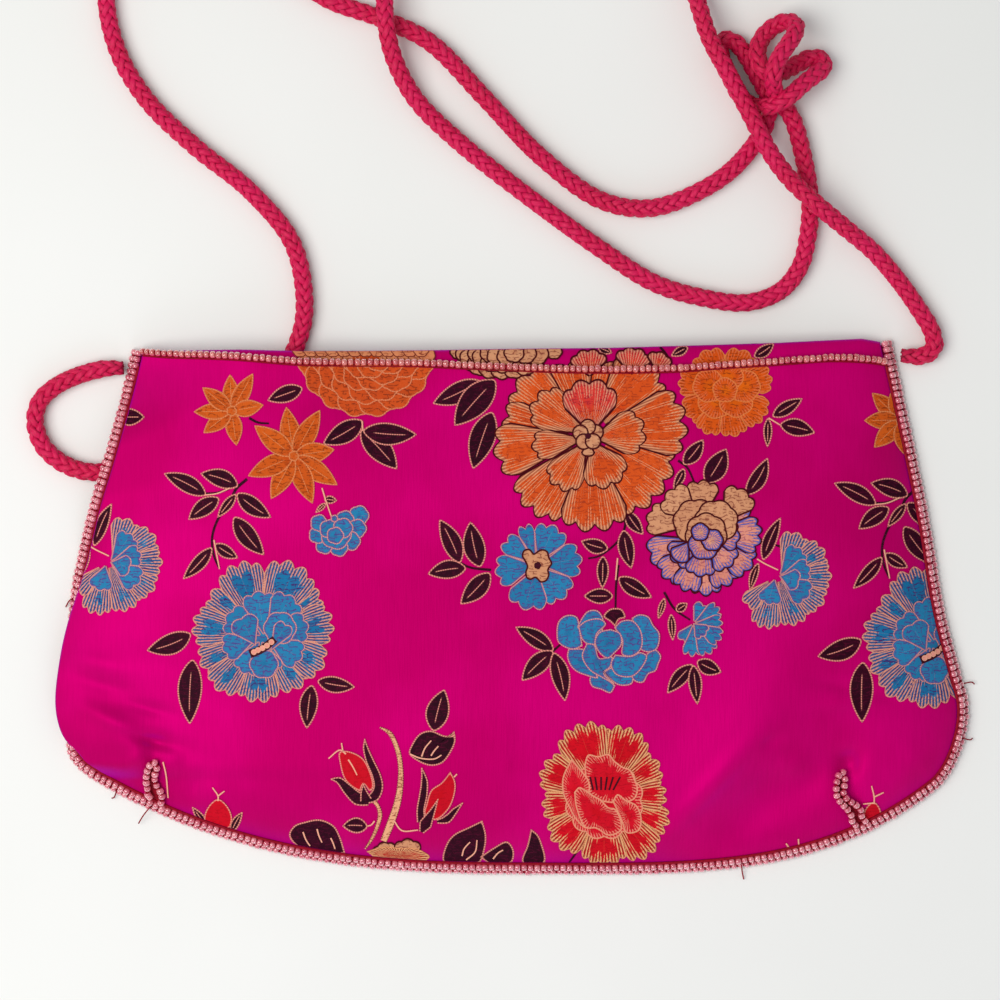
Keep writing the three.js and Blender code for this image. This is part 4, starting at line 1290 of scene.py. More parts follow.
OTHER_LEAVES = [
    ((267.5, 400.5), (302.5, 388), 8.8, 0), ((144.5, 417), (117, 417), 8.8, 0),
    ((132.5, 382), (126, 398), 2.6, 0),
    ((315.5, 512.8), (326, 503), 3.0, 0), ((337, 500.5), (324, 499), 4.2, 0),
    ((306.8, 728.5), (311.8, 685), 9.4, 1), ((354.8, 687), (317.5, 681), 8.4, 1),
    ((192, 807), (207, 831), 4.6, 1), ((242.5, 812), (231, 833), 4.4, -1),
    ((342.5, 826), (367.5, 826.5), 8.0, 1),
    ((444.3, 689.5), (433.5, 731), 11.8, -1),
    ((323, 444), (363, 421), 11.0, -1), ((416.5, 434.5), (363, 431), 11.4, 1.5),
    ((397, 469), (361, 430), 12.4, -1),
    ((433, 403.5), (480, 381), 11.0, -1.5), ((454.5, 425.5), (495, 380), 15.0, 1),
    ((473, 468.8), (492, 412), 13.2, 1),
    ((439.6, 519.5), (460, 563), 10.0, 1.5), ((470.2, 521.8), (480, 567), 11.2, -1.5),
    ((427.8, 574), (466, 568), 9.6, 1.5), ((460.5, 604), (490, 573), 10.4, -1),
    ((643.2, 534.5), (626, 511), 7.0, 1), ((631.3, 568.5), (623.5, 530), 8.4, 1),
    ((581.2, 541), (608, 549), 7.8, -1),
    ((602.3, 588.5), (603, 556), 6.2, 0), ((583.8, 596), (613, 596), 8.0, 0),
    ((651.8, 597.5), (618.5, 577.5), 8.8, 1),
    ((802.3, 398.5), (772.5, 416.5), 7.2, 0), ((814.8, 432.8), (780, 424.5), 9.0, -1),
    ((767.4, 447.3), (768, 418), 4.6, 0),
    ((703.3, 439.5), (683.5, 464.5), 8.2, 1), ((673.2, 488.5), (684, 468.5), 5.0, -1),
    ((726.2, 448.8), (706, 483), 11.4, 1), ((767.5, 458), (746, 495), 8.6, 2.5),
    ((774, 343), (754, 357), 6.0, 1), ((671, 356), (688, 347), 5.0, 0), ((612, 353), (598, 347), 4.6, 0),
    ((515.5, 627), (553.5, 650.5), 9.0, 1), ((521.8, 680.5), (553, 651), 10.0, 1),
    ((565, 701), (553.6, 652.5), 9.6, -1.5),
    ((658.2, 618.8), (664.5, 598), 3.6, 0), ((687.3, 603.3), (676, 611), 4.8, 0),
    ((672.8, 640.8), (671, 614), 4.2, 0),
    ((667.3, 693.2), (692.6, 664.5), 8.0, 1), ((697.4, 704.3), (693.2, 665), 7.0, 0),
    ((721.3, 672.3), (697, 661), 8.2, 1),
    ((850, 832), (822, 843), 3.6, 0), ((862, 722.5), (862.8, 662), 12.0, 1),
]


def moved(rows, step):
    """The same leaves a repeat further on."""
    dx, dy = step
    return [((tx + dx, ty + dy), (bx + dx, by + dy), *rest) for (tx, ty), (bx, by), *rest in rows]


leaf_rows = SPRIG_LEAVES + moved(SPRIG_LEAVES, SPRIG_REPEAT) + FAN_LEAVES + moved(FAN_LEAVES, FAN_REPEAT)
leaf_rows += PEONY_LEAVES + moved(PEONY_LEAVES[:1], PEONY_REPEAT) + OTHER_LEAVES
leaves = [leaf(*row) for row in leaf_rows]
# Leaves wide or cut off enough to need their own outline: a middle, then points round the edge.
BROAD_LEAVES = [
    ((432, 748), (454.3, 731), (452, 735.5), (444, 735.5), (431, 730.6), (420, 733.5), (412, 744),
     (409, 753.5),
     (418.5, 761.5), (431, 765.7), (442.5, 762.8), (452, 750), (455.4, 740.5)),
    ((465, 848), (482.3, 820.5), (469, 827), (454, 834.5), (446.5, 844), (443, 862), (458, 874), (478, 866),
     (485, 848),
     (486, 835)),
    ((499, 856), (480, 857), (494, 847.5), (507, 841.5), (513.5, 850), (512, 862), (498, 870)),
    ((533, 852), (530.8, 829), (537.5, 834.5), (541.5, 843), (545, 862), (534, 872), (522, 862), (527, 846),
     (529, 838)),
    ((314, 842), (345, 853), (340.5, 838), (334, 826), (320, 819.5), (306, 821.5), (294, 826), (289, 836),
     (304, 852),
     (330, 862)),
]
CALYXES = [
    ((614.5, 614.5), (615.4, 627), (610, 621.5), (603.5, 616.5), (609, 609.5), (615.4, 608), (622, 609.5),
     (625.3, 617.5),
     (619, 619.5)),
]
SEPALS = [
    ([(364.7, 738.5), (365.6, 748), (369.5, 760), (376.5, 776), (378.3, 787), (374.5, 796), (366, 800)], 0.6,
     5.5, 8, 9, 9.5, 10.5, 8),
    ([(330.7, 779), (339, 780.5), (348, 789.5), (358, 798.5), (369, 801)], 1.0, 7, 11, 13.5, 9),
    ([(363.4, 783.5), (364, 792), (366, 800)], 0.5, 7, 12),
    ([(421.6, 767.5), (424.3, 781), (423.3, 795), (420.6, 810), (421.5, 822)], 1.0, 7, 8.5, 8, 9),
    ([(463, 802.5), (455, 810.5), (447, 819), (437, 821.5)], 0.8, 6, 8.5, 4),
    ([(438.3, 798.5), (432.5, 811), (425.5, 824), (421.5, 832)], 0.6, 6, 13, 5),
]
leaves += [shape(*row) for row in BROAD_LEAVES + CALYXES]
in_threes = [leaves[k:k + 3] for k in range(0, len(leaves), 3)]
weave_piece("woven_leaves", in_threes, plum_leaf, layer=1)
weave_piece("woven_sepals", [[stroke(*row) for row in SEPALS]], plum_sepal, layer=19)

# %% Stems
SPRIG_STEMS = [
    [(247, 479), (236, 489), (230, 502), (218, 519), (212, 538), (214, 556), (219, 568)],
    [(205, 494), (217, 493), (231, 488)],
]
dark_stems = [
    stroke([(x + dx, y + dy) for x, y in line], 3.0, 2.0)
    for line in SPRIG_STEMS for dx, dy in (HOME, SPRIG_REPEAT)
]
dark_stems += [
    stroke(line, 2.6, 1.8) for line in (
        [(249, 418), (258, 422.5), (269, 423.5)], [(491, 570), (468.5, 567), (453, 557.5)],
        [(625.5, 512), (624.5, 528), (618, 541), (599, 556), (588, 558.5)],
        [(618.2, 565), (616, 586), (615.4, 609)],
        [(678, 460.5), (687, 467.5), (694.5, 483)], [(664, 592), (674.5, 609), (690, 620)],
        [(584.5, 830), (579.5, 847), (569, 863)], [(660, 347), (666, 354), (672, 366)],
        [(553, 651), (562, 643)],
        [(785, 548), (775, 545)],
    )
]
weave_piece("woven_dark_stems", [[line] for line in dark_stems], plum_stem, layer=0)

ANTENNAE = [
    [(218, 801), (218, 796), (212.5, 787.5)], [(218, 796), (224.5, 791)],
    [(874, 804), (874, 797), (871.5, 786)], [(874, 797), (883.5, 792.5)], [(874, 803), (863, 804)],
    [(346, 754), (340, 750), (328.5, 758.5)], [(343, 752), (341.5, 743)], [(454, 777), (457, 774)],
    [(393.5, 820), (402, 830.5), (418, 830)], [(786, 843.5), (790.5, 850)], [(798.3, 839), (799, 848)],
    [(322, 488), (326, 501), (331.5, 517)], [(768.5, 418), (780, 425)], [(617.5, 558), (615.5, 580)],
    [(88, 545), (95.5, 549.5), (109, 556)], [(757, 559), (764.5, 563.5), (778, 570)],
    [(362, 421), (363, 431)], [(230, 488), (217, 493.5), (205, 495)],
    [(900, 497.5), (887, 503), (875, 504.5)],
    [(214, 540), (217, 556), (219.5, 569)], [(884, 549.5), (887, 565.5), (889.5, 578.5)],
    [(421.6, 756.5), (425, 748), (431.2, 740.5)], [(431, 755.7), (434, 751), (438.4, 746)],
    [(410, 754), (420, 758), (434.4, 758.8), (441.5, 755)], [(462, 856), (464, 849), (470, 842)],
    [(466, 860), (475, 852), (477, 840)], [(317, 829), (319, 836), (322, 842.5)],
    [(330.7, 838), (333, 843), (335, 849)],
    [(303, 832), (306, 840), (310, 846)], [(493, 859), (498, 853), (503, 850)],
    [(374.6, 821), (371, 825), (367.4, 826)],
    [(163, 762), (166, 775), (168, 798)], [(348.3, 759.5), (353, 767), (357, 775)],
]
threads = [[stroke(line, 1.5, 1.2)] for line in ANTENNAE]
weave_piece("woven_pale_threads", threads, pale_thread, layer=20)
cream_lines = [
    [stroke(
        [(380, 727.3), (389.7, 733.3), (397, 748.5), (400.4, 766), (400, 787), (397, 804), (390.5, 823.5),
         (383.5, 841)],
        1.6, 4.4, 4.8, 4.8, 6, 7, 7.6, 6.6,
    )],
    [stroke(
        [(372.5, 799.5), (378, 806.5), (380, 815), (377, 827), (371.4, 839.5), (365, 849)],
        4.4, 3.6, 4.4, 3.8, 3, 1.6,
    )],
]
weave_piece("woven_cream_stems", cream_lines, cream_stem, layer=6)

# %% [markdown]
# A star blossom is a ring of pointed petals round a small eye. A chrysanthemum is rows of round
# scales, each row nearer the heart lying on the one before.

# %% Orange stars and chrysanthemums
STARS = [
    ((231.7, 411), 8.6, [(230, 374.5), (253, 373.5), (263.5, 405), (236.5, 445.5), (203.5, 433),
      (193.8, 411.8), (202.5, 387.5)]),
    ((293.8, 456), 10.6, [
        (286.3, 407), (320, 410), (334.5, 449.5), (337.5, 485), (312.5, 503.5), (271, 499), (248, 476),
        (254.5, 425.5),
    ]),
    ((901, 420), 9.5, [(872, 393), (893, 388), (864, 420.5), (874, 447.5), (905, 455)]),
]
stars = [
    [leaf(tip, centre, half_width, 0.0, 0.85) for tip in tips] + [fan(*centre, 0, 0, 5.5, 180, 5, 0.12)]
    for centre, half_width, tips in STARS
]
weave_piece("orange_star_blossoms", stars, orange_petal, layer=4)


def scale_rows(x, y, rings, squash):
    """Round scales over the lower half of each ring, from the outside in. Each ring is its radius,
    count and scale size, and squash flattens it."""
    made = []
    for radius, count, size in rings:
        for k in range(count):
            degrees = 180 + 180 * (k + 0.5) / count
            px = x + (radius - size) * math.cos(math.radians(degrees))
            py = y - (radius - size) * math.sin(math.radians(degrees)) * squash
            made.append(fan(px, py, degrees, 0, size, 180, 7, 0.07))
    return made


def border(y, size, columns):
    """Round scales in a row, as the pattern crosses the fold."""
    return [fan(x, y, 90, 0, size, 180, 7, 0.07) for x in columns]


orange_rings = [(70, 8, 20), (56, 7, 19), (42, 6, 17), (29, 4, 15), (16, 3, 12)]
orange_scales = scale_rows(366, 352, orange_rings, 0.92)
weave_piece("orange_chrysanthemum", [orange_scales], scale_orange, layer=4)
beige_rings = [(48, 9, 13), (36, 7, 12), (24, 4, 11)]
beige_scales = border(351, 9, range(458, 560, 12)) + scale_rows(502, 350, beige_rings, 0.5)
half_blossom = [fan(387, 860, 106, 0, 19, 56, 3), fan(407.5, 861, 90, 0, 23, 50, 3)]
half_blossom_foot = [shape(
    (398, 856), (366.6, 851.5), (374, 849), (386, 846.5), (400, 848), (414, 848), (422, 851), (429.6, 857),
    (416, 864), (382, 862),
)]
fold_scales = border(355, 8.5, range(306, 430, 11)) + border(349, 8.5, range(300, 432, 11))
weave_piece("beige_chrysanthemum", [beige_scales, half_blossom], beige_petal, layer=4)
weave_piece("chrysanthemum_on_fold", [fold_scales], scale_salmon, layer=22)

# %% [markdown]
# A peony is built from the outside in: broad scalloped petals round a centre, then smaller ones
# that curl over the heart. Each row is one petal: where it springs from, its direction in degrees,
# its inner and outer radius, half its opening angle, and how many scallops its rim has.

# %% The big orange peony
ORANGE_OUTER = [
    (588, 434, 78, 20, 78, 17, 2), (588, 434, 107, 20, 78, 21, 2), (588, 436, 141, 20, 92, 21, 3),
    (588, 434, 48, 20, 96, 23, 4),
    (588, 436, 166, 20, 89, 14, 2), (588, 436, 190, 20, 97, 20, 3), (588, 436, 232, 20, 97, 22, 4),
    (588, 436, 323, 20, 95, 32, 5), (588, 434, 8, 20, 101, 24, 4), (590, 436, 273, 20, 97, 25, 4),
]
ORANGE_INNER = [
    (590, 438, 8, 6, 57, 34, 4), (588, 436, 145, 6, 67, 29, 4), (588, 438, 189, 6, 58, 22, 3),
    (588, 438, 238, 6, 60, 28, 4), (590, 438, 295, 6, 54, 37, 4),
]
orange_peony = [fan(*row, 0.08, 0.95, 0.12) for row in ORANGE_OUTER]
orange_peony += [fan(*row, 0.08, 0.85, 0.3) for row in ORANGE_INNER]
weave_piece("orange_peony", [orange_peony], peony_orange, layer=4)
SALMON = [(590, 378, 95, 2, 30, 52, 4), (630, 376, 80, 2, 30, 50, 4), (655, 372, 70, 2, 22, 50, 3)]
salmon_petals = [[fan(591, 438, 92, 6, 60, 41, 4, 0.08, 0.85, 0.3)], [fan(*row) for row in SALMON]]
weave_piece("orange_peony_salmon", salmon_petals, peony_salmon, layer=19)


def round_eye(x, y, reach, size, count, turn):
    """A small flat blossom of round petals, for the middle of a flower."""
    made = []
    for k in range(count):
        degrees = turn + 360 * k / count
        px = x + reach * math.cos(math.radians(degrees))
        py = y - reach * math.sin(math.radians(degrees))
        made.append(fan(px, py, degrees, 0, size, 180, 1, 0.0))
    return made


peony_eye = [fan(588, 440, 270, 0, 17, 30, 1, 0.0)] + round_eye(588, 435, 8, 8.5, 5, 20)
clover = shape(
    (537, 565.5), (533.9, 553.4), (529.5, 548.8), (523.6, 550), (521.6, 556), (524.6, 561.5), (526.6, 566.5),
    (525, 572),
    (526.2, 578), (530.5, 580.2), (535.2, 578.2), (540.5, 582.6), (546.6, 581), (549.6, 574.6), (548.6, 570),
    (552.3, 563.5),
    (549.4, 557), (547.6, 551.2), (541.4, 549),
)
weave_piece("beige_eyes", [peony_eye, [clover]], beige_petal, layer=24)
dark_eyes = [[fan(588, 436, 0, 0, 3.2, 180, 5, 0.1)], [fan(537.5, 565.5, 0, 0, 3.6, 180, 5, 0.1)]]
weave_piece("dark_eyes", dark_eyes, dark_eye, layer=31)

# %% The small orange rose
ROSE = [
    (725, 392, 62, 4, 47, 28, 3), (725, 392, 118, 4, 47, 28, 3), (725, 390, 20, 4, 49, 26, 4),
    (725, 390, 165, 4, 48, 26, 4),
    (725, 390, 212, 4, 47, 25, 3), (724, 390, 247, 4, 48, 21, 3), (725, 390, 283, 4, 48, 22, 3),
    (725, 390, 325, 4, 49, 26, 4),
    (716, 400, 230, 0, 19, 180, 6), (736, 400, 300, 0, 18, 180, 6), (744, 386, 20, 0, 17, 180, 6),
    (727, 376, 80, 0, 17, 180, 6), (709, 386, 160, 0, 17, 180, 6), (725, 390, 90, 0, 13, 180, 5),
]
weave_piece("orange_rose", [[fan(*row, 0.07) for row in ROSE]], rose_orange, layer=4)

# %% Blue peonies and fan flowers
BLUE_OUTER = [
    (262, 634, 139, 12, 67, 20, 3), (262, 634, 38, 12, 72, 18, 3), (262, 634, 306, 12, 67, 20, 3),
    (260, 636, 206, 12, 67, 19, 3),
    (262, 634, 110, 12, 76, 23, 4), (262, 636, 64, 12, 81, 24, 4), (264, 634, 10, 12, 71, 22, 4),
    (264, 634, 331, 12, 69, 20, 3),
    (260, 636, 268, 12, 67, 24, 4), (260, 636, 231, 12, 70, 19, 3), (260, 634, 172, 12, 69, 22, 4),
]
BLUE_INNER = [
    (264, 642, 0, 0, 24, 180, 7),
    (262, 636, 150, 2, 42, 30, 3), (264, 636, 98, 2, 46, 28, 3), (266, 634, 55, 2, 47, 28, 3),
    (268, 634, 12, 2, 42, 28, 3),
    (266, 638, 330, 2, 42, 27, 3), (262, 640, 285, 2, 36, 30, 4), (260, 640, 242, 2, 38, 28, 3),
    (258, 638, 198, 2, 38, 28, 3),
    (256, 646, 118, 0, 34, 34, 2), (280, 628, 30, 0, 17, 180, 6), (264, 664, 270, 0, 15, 180, 6),
    (270, 652, 60, 0, 34, 22, 2),
]
FAN_OUTER = [
    (112, 562, 68, 6, 47, 24, 3), (108, 562, 295, 6, 53, 23, 4), (106, 562, 258, 6, 54, 21, 4),
    (104, 564, 226, 6, 39, 20, 2),
    (110, 562, 30, 6, 53, 22, 3), (110, 562, 328, 6, 53, 21, 3), (110, 562, 0, 6, 53, 20, 3),
]
FAN_INNER = [
    (110, 562, 52, 2, 36, 26, 3), (106, 564, 255, 2, 28, 34, 3), (110, 562, 14, 2, 33, 26, 3),
    (110, 562, 325, 2, 37, 28, 3),
    (110, 562, 345, 0, 22, 40, 2),
]


def bloom(rows, step=HOME, **form):
    """A flower's petals from its rows, carried on by a step."""
    return [fan(x + step[0], y + step[1], *rest, **form) for x, y, *rest in rows]


outer_blue = [bloom(BLUE_OUTER, step) for step in (HOME, PEONY_REPEAT)]
outer_blue += [bloom(FAN_OUTER, step) for step in (HOME, FAN_REPEAT)]
weave_piece("blue_outer_petals", outer_blue, blue_outer, layer=4)
inner_blue = [bloom(BLUE_INNER, step) for step in (HOME, PEONY_REPEAT)]
inner_blue += [bloom(FAN_INNER, step) for step in (HOME, FAN_REPEAT)]
# A peony seen from the side under its calyx: a middle, then points round each petal's edge.
HANGING_PEONY = [
    ((604, 683), (615.4, 685.5), (606, 678), (594, 673), (589.4, 679), (592, 686.5), (601, 689.5),
     (610.5, 693)),
    ((618, 677), (603, 672), (613, 667), (624, 672), (633, 677), (632, 683.5), (624, 685.7), (616, 684)),
    ((647, 665), (647, 653), (655.5, 649.5), (661, 656), (658.5, 664), (655.5, 671), (648.5, 674),
     (643, 682.5),
     (634.5, 681), (631, 674), (640, 667)),
    ((581, 661), (568.4, 648.5), (567, 656), (570, 665), (575.5, 671), (586, 675.5), (598, 678), (592, 666),
     (586, 650)),
    ((568, 633), (582.5, 646), (572.5, 649.5), (558.6, 643), (556.5, 634.5), (558.6, 621), (567, 615),
     (577, 617), (580, 630)),
    ((590, 622), (577, 627), (582, 617.5), (587, 611.5), (592, 609.8), (598, 610.8), (603.5, 619.5),
     (600, 636), (588, 640)),
    ((646, 633), (631.5, 618), (638.6, 614.4), (648.4, 616.5), (653.3, 625), (659.6, 633.5), (657, 648.7),
     (648.4, 652.2),
     (640, 649), (636, 634)),
    ((592, 631), (578, 626.5), (586, 620.5), (600, 618.5), (606, 624), (597, 634), (594, 646), (583, 641)),
    ((597, 662), (586.6, 643), (594.5, 644.5), (599.5, 658), (612, 656), (610.5, 667), (604, 673),
     (614.7, 684), (600.7, 677),
     (589.4, 670), (581.7, 656)),
    ((628, 664), (614.7, 654.5), (631.5, 655.7), (640, 652), (647, 655.7), (641.5, 668.5), (631.5, 676.8),
     (616, 674.7),
     (610.5, 664)),
    ((630, 638), (614, 627.5), (621.7, 620.7), (633, 620.7), (641.4, 632), (641.4, 648.7), (631.5, 656.4),
     (621.7, 654.3),
     (622, 640)),
    ((608, 643), (610.5, 629), (620.3, 633.3), (621.7, 644.5), (614.7, 653), (607.7, 658.5), (599.3, 653),
     (594.4, 641.7),
     (599.3, 632)),
]
inner_blue.append([shape(*row) for row in HANGING_PEONY])
CLUSTER = [
    (359, 515.5, 10.5), (345, 519.5, 9.5), (357, 528.5, 10), (351, 541, 10), (339, 547.5, 9.5),
    (324.5, 545, 9.5),
    (317.5, 535, 9), (319, 523, 9), (336, 534, 16), (329, 529, 10), (343, 528, 10.5), (335.3, 535.5, 9),
    (334.5, 518.5, 4),
]
inner_blue.append([fan(x, y, 0, 0, size, 180, 5, 0.09) for x, y, size in CLUSTER])
NODDING = [
    (693, 623, 60, 2, 23, 30, 2), (693, 623, 240, 2, 22, 30, 2), (693, 623, 268, 2, 34, 22, 3),
    (693, 623, 30, 2, 31, 22, 3),
    (693, 623, 0, 2, 30, 22, 3), (693, 623, 300, 2, 36, 22, 3), (693, 623, 330, 2, 33, 22, 3),
    (693, 623, 315, 0, 18, 40, 3),
]
SEVEN = [
    (537, 565, 66, 6, 44, 30, 3), (537, 565, 8, 6, 46, 29, 3), (537, 565, 310, 6, 44, 31, 3),
    (537, 565, 190, 6, 43, 29, 3),
    (537, 565, 254, 6, 47, 33, 3), (537, 565, 142, 6, 42, 21, 2), (537, 565, 108, 6, 43, 15, 2),
]
inner_blue += [bloom(NODDING, depth=0.12), bloom(SEVEN, depth=0.11)]
weave_piece("blue_inner_petals", inner_blue, blue_inner, layer=15)
POD = [(250, 654), (262, 649), (275, 639)]
STAMENS = [(254, 652), (258, 650), (262.5, 648), (267, 645.5), (271.5, 642)]
pods, stamens = [], []
for dx, dy in (HOME, PEONY_REPEAT):
    pods.append([stroke([(x + dx, y + dy) for x, y in POD], 8.5, 7.5)])
    stamens.append([fan(x + dx, y + dy, 0, 0, 2.9, 180, 1, 0.0) for x, y in STAMENS])
weave_piece("blue_peony_pods", pods, dark_eye, layer=29)
weave_piece("blue_peony_stamens", stamens, pale_thread, layer=31)

# %% Red peony and buds
RED_OUTER = [
    (604, 797, 0, 0, 44, 180, 12),
    (606, 795, 32, 14, 63, 20, 3), (606, 797, 333, 14, 69, 19, 4), (602, 799, 190, 14, 61, 22, 4),
    (602, 795, 155, 14, 67, 22, 4),
    (606, 797, 2, 14, 61, 20, 4), (606, 797, 307, 14, 74, 20, 4), (602, 799, 225, 14, 66, 24, 4),
    (604, 799, 270, 14, 68, 25, 5),
    (606, 795, 70, 14, 72, 25, 5), (604, 797, 110, 14, 78, 25, 5),
]
# The petals that cup its heart: a middle, then points round each one's edge.
RED_CUP = [
    ((612, 780), (584, 765), (588, 754.5), (598, 756), (608.5, 753.8), (615, 761), (622.5, 766.5),
     (630, 769.5), (634, 777),
     (638, 789), (634, 799.5), (615, 803), (598, 800), (588, 792)),
    ((575, 792), (571.5, 758.5), (580.4, 769), (588.6, 780), (590, 790), (585, 803), (585.5, 828),
     (575.3, 819), (569, 807.6),
     (562.6, 792), (562.6, 777)),
    ((628, 816), (612.3, 801), (617.4, 794), (626.3, 800), (636.5, 805), (641.6, 818), (639, 830.5),
     (626.3, 833),
     (621.7, 822), (616, 809)),
    ((596, 812), (574, 792), (579, 787), (585.5, 789.7), (593, 795), (601, 799.5), (608.5, 807),
     (615, 808.5), (621.2, 820),
     (621.2, 830.5), (608.5, 835.6), (595.7, 828.5), (585.5, 828), (576, 808)),
]
weave_piece("red_peony_outer", [bloom(RED_OUTER), half_blossom_foot], red_outer, layer=6)
bud_petals = [
    [shape(
        (356, 772), (360.2, 791.5), (351, 786), (344.3, 778.5), (340, 764), (339.3, 752.3), (347.5, 751),
        (362, 757.5), (370, 771),
        (373.3, 787), (370, 791), (363.5, 784),
    )],
    [shape(
        (440, 795), (450.3, 771.5), (455, 781), (455.2, 791.5), (448.7, 809), (435.2, 820), (424.5, 814),
        (426.4, 804),
        (431.2, 790), (441.5, 782.5),
    )],
    [leaf((218, 799), (218, 835), 14.0, 0, 0.6)], [leaf((874, 802), (871, 826), 9.0, 0, 0.6)],
]
weave_piece("red_buds", bud_petals, red_bud, layer=17)
red_petals = [fan(604, 800, 0, 0, 40, 180, 12)] + [shape(*row) for row in RED_CUP]
weave_piece("red_inner_petals", [red_petals], red_inner, layer=17)
FILAMENTS = [(593, -3), (597, -2), (601, 0), (605, 2), (609, 4), (613, 7)]
filaments = [[stroke([(x, 790), (x + lean, 777)], 1.7, 1.7)] for x, lean in FILAMENTS]
weave_piece("red_peony_filaments", filaments, dark_eye, layer=24)

# %% The cream and lilac peony
LILAC = [
    (704, 538, 196, 8, 60, 20, 2), (704, 540, 222, 8, 57, 21, 3), (704, 540, 272, 8, 57, 22, 3),
    (704, 540, 248, 8, 56, 20, 3),
    (704, 538, 298, 8, 55, 22, 3), (708, 528, 24, 8, 47, 24, 3), (706, 536, 325, 8, 57, 23, 3),
    (708, 532, 356, 8, 55, 26, 4),
    (700, 540, 215, 2, 36, 34, 3), (704, 542, 262, 2, 36, 34, 3), (708, 540, 312, 2, 36, 34, 3),
    (706, 534, 355, 2, 35, 34, 3),
]
CREAM = [
    (690, 528, 165, 6, 46, 28, 3), (704, 520, 100, 6, 41, 38, 4), (700, 522, 138, 6, 46, 30, 3),
    (722, 524, 56, 6, 42, 32, 3),
    (696, 522, 120, 0, 24, 180, 7), (716, 522, 70, 0, 23, 180, 7), (706, 534, 90, 0, 22, 180, 7),
]
LILAC_HEART = [
    (690, 540, 235, 0, 26, 34, 1), (704, 544, 270, 0, 17, 180, 6), (712, 540, 330, 0, 12, 180, 6),
    (700, 532, 90, 0, 10, 180, 5),
]
weave_piece("lilac_peony_petals", [bloom(LILAC)], lilac_petal, layer=4)
weave_piece("cream_peony_petals", [bloom(CREAM)], beige_petal, layer=14)
weave_piece("lilac_peony_heart", [bloom(LILAC_HEART)], lilac_petal, layer=22)

# %% [markdown]
# ## Seed beads
#
# Seed beads are cut from thin glass tube, so each is a short barrel with a hole. Threaded close
# together they sit with their holes along the thread and lean a little this way and that. All the
# beads of a string are one mesh: one small barrel profile is turned round the thread at each
# bead's place, as arrays. The rows of the seam follow the outline. The row under the mouth's fold
# and the two hairpins round the darts follow places of the picture, laid on the silk.

# %% Bead strings
BEAD_PITCH = 1.68
BEAD_LENGTH = 1.42
# Half a bead's profile: along the thread and out from it, as shares of half its length and width.
BEAD_PROFILE = np.array([(-0.86, 0.42), (-1.0, 0.7), (-0.52, 0.98), (0.52, 0.98), (1.0, 0.7), (0.86, 0.42)])
BEAD_SIDES = 9
chance = np.random.default_rng(11)


def bead_string(name, path, material, pitch=BEAD_PITCH):
    """Barrels at even distances along a path, each turned and leaned a little by chance."""
    length = np.linalg.norm(np.diff(path, axis=0), axis=1).sum()
    count = int(length / pitch) + 1
    centres, _ = evenly(path, count)
    forward = unit(np.gradient(centres, axis=0))
    forward = unit(forward + chance.normal(0, 0.09, (count, 3)))
    aside = unit(np.cross([0.0, 0.0, 1.0], forward))
    upward = np.cross(forward, aside)
    swell = 1 + chance.normal(0, 0.035, (count, 1, 1, 1))
    centres = centres + chance.normal(0, 0.05, (count, 3))
    around = np.linspace(0, 2 * np.pi, BEAD_SIDES, endpoint=False)
    axial = BEAD_PROFILE[:, 0][None, :, None, None] * BEAD_LENGTH / 2
    radial = BEAD_PROFILE[:, 1][None, :, None, None] * BEAD / 2
    cosine, sine = np.cos(around)[None, None, :, None], np.sin(around)[None, None, :, None]
    outward = cosine * aside[:, None, None] + sine * upward[:, None, None]
    points = centres[:, None, None] + swell * (forward[:, None, None] * axial + radial * outward)
    rings = len(BEAD_PROFILE)
    ring, side = np.meshgrid(np.arange(rings), np.arange(BEAD_SIDES), indexing="ij")
    next_ring, next_side = (ring + 1) % rings, (side + 1) % BEAD_SIDES
    around_quad = ((ring, side), (ring, next_side), (next_ring, next_side), (next_ring, side))
    quad = np.stack([a * BEAD_SIDES + b for a, b in around_quad], axis=-1).reshape(-1, 4)
    each = rings * BEAD_SIDES
    faces = (quad[None, :, ::-1] + (np.arange(count) * each)[:, None, None]).reshape(-1, 4)
    tone = np.repeat(chance.random(count), each)
    print(name, "has", count, "beads on", round(length), "mm")
    return add_piece(name, points, faces, material, attributes={"tone": tone})


def seed_glass(name, deep, pale):
    """Lustrous glass whose colour differs a little from bead to bead."""
    made, graph, principled = new_material(
        name, Roughness=0.14, IOR=1.55, Transmission_Weight=0.3,
        Coat_Weight=1.0, Coat_IOR=1.7, Coat_Roughness=0.05,
    )
    graph.links.new(blend(graph, attribute(graph, "tone"), deep, pale), principled.inputs["Base Color"])
    return made


bead_material = seed_glass("rose_seed_glass", paint(222, 80, 108), paint(246, 136, 150))
coral_glass = seed_glass("coral_seed_glass", paint(214, 82, 84), paint(240, 130, 120))
# The crimson finish of the real threads also colours the painted shade lines beside the beads and the painted
# shade strips in the darts.
thread_and_shade_material, tree, shader = new_material("crimson_thread_and_painted_shade", Roughness=0.7, Specular_IOR_Level=0.15)
twist = noise(tree, stretched(tree, (1500.0, 1500.0, 1500.0)), 1.0, 1.0)
tree.links.new(blend(tree, twist, paint(104, 0, 20), paint(166, 0, 34)), shader.inputs["Base Color"])


def lay_threads(name, paths, radius):
    """Round threads along paths, one mesh: a ring of six points turned about each path point."""
    around = np.linspace(0, 2 * np.pi, 6, endpoint=False)[None, :, None]
    points, faces, first = [], [], 0
    for path in paths:
        forward = unit(np.gradient(path, axis=0))
        aside = unit(np.cross([0.0, 0.0, 1.0], forward))[:, None]
        upward = np.cross(forward[:, None], aside)
        ring = path[:, None] + radius * (np.cos(around) * aside + np.sin(around) * upward)
        points.append(ring.reshape(-1, 3))
        faces.append(grid_faces(len(path), 6, first, closed=True))
        first += ring.shape[0] * 6
    piece = add_piece(name, np.vstack(points), np.vstack(faces), thread_and_shade_material)
    return piece


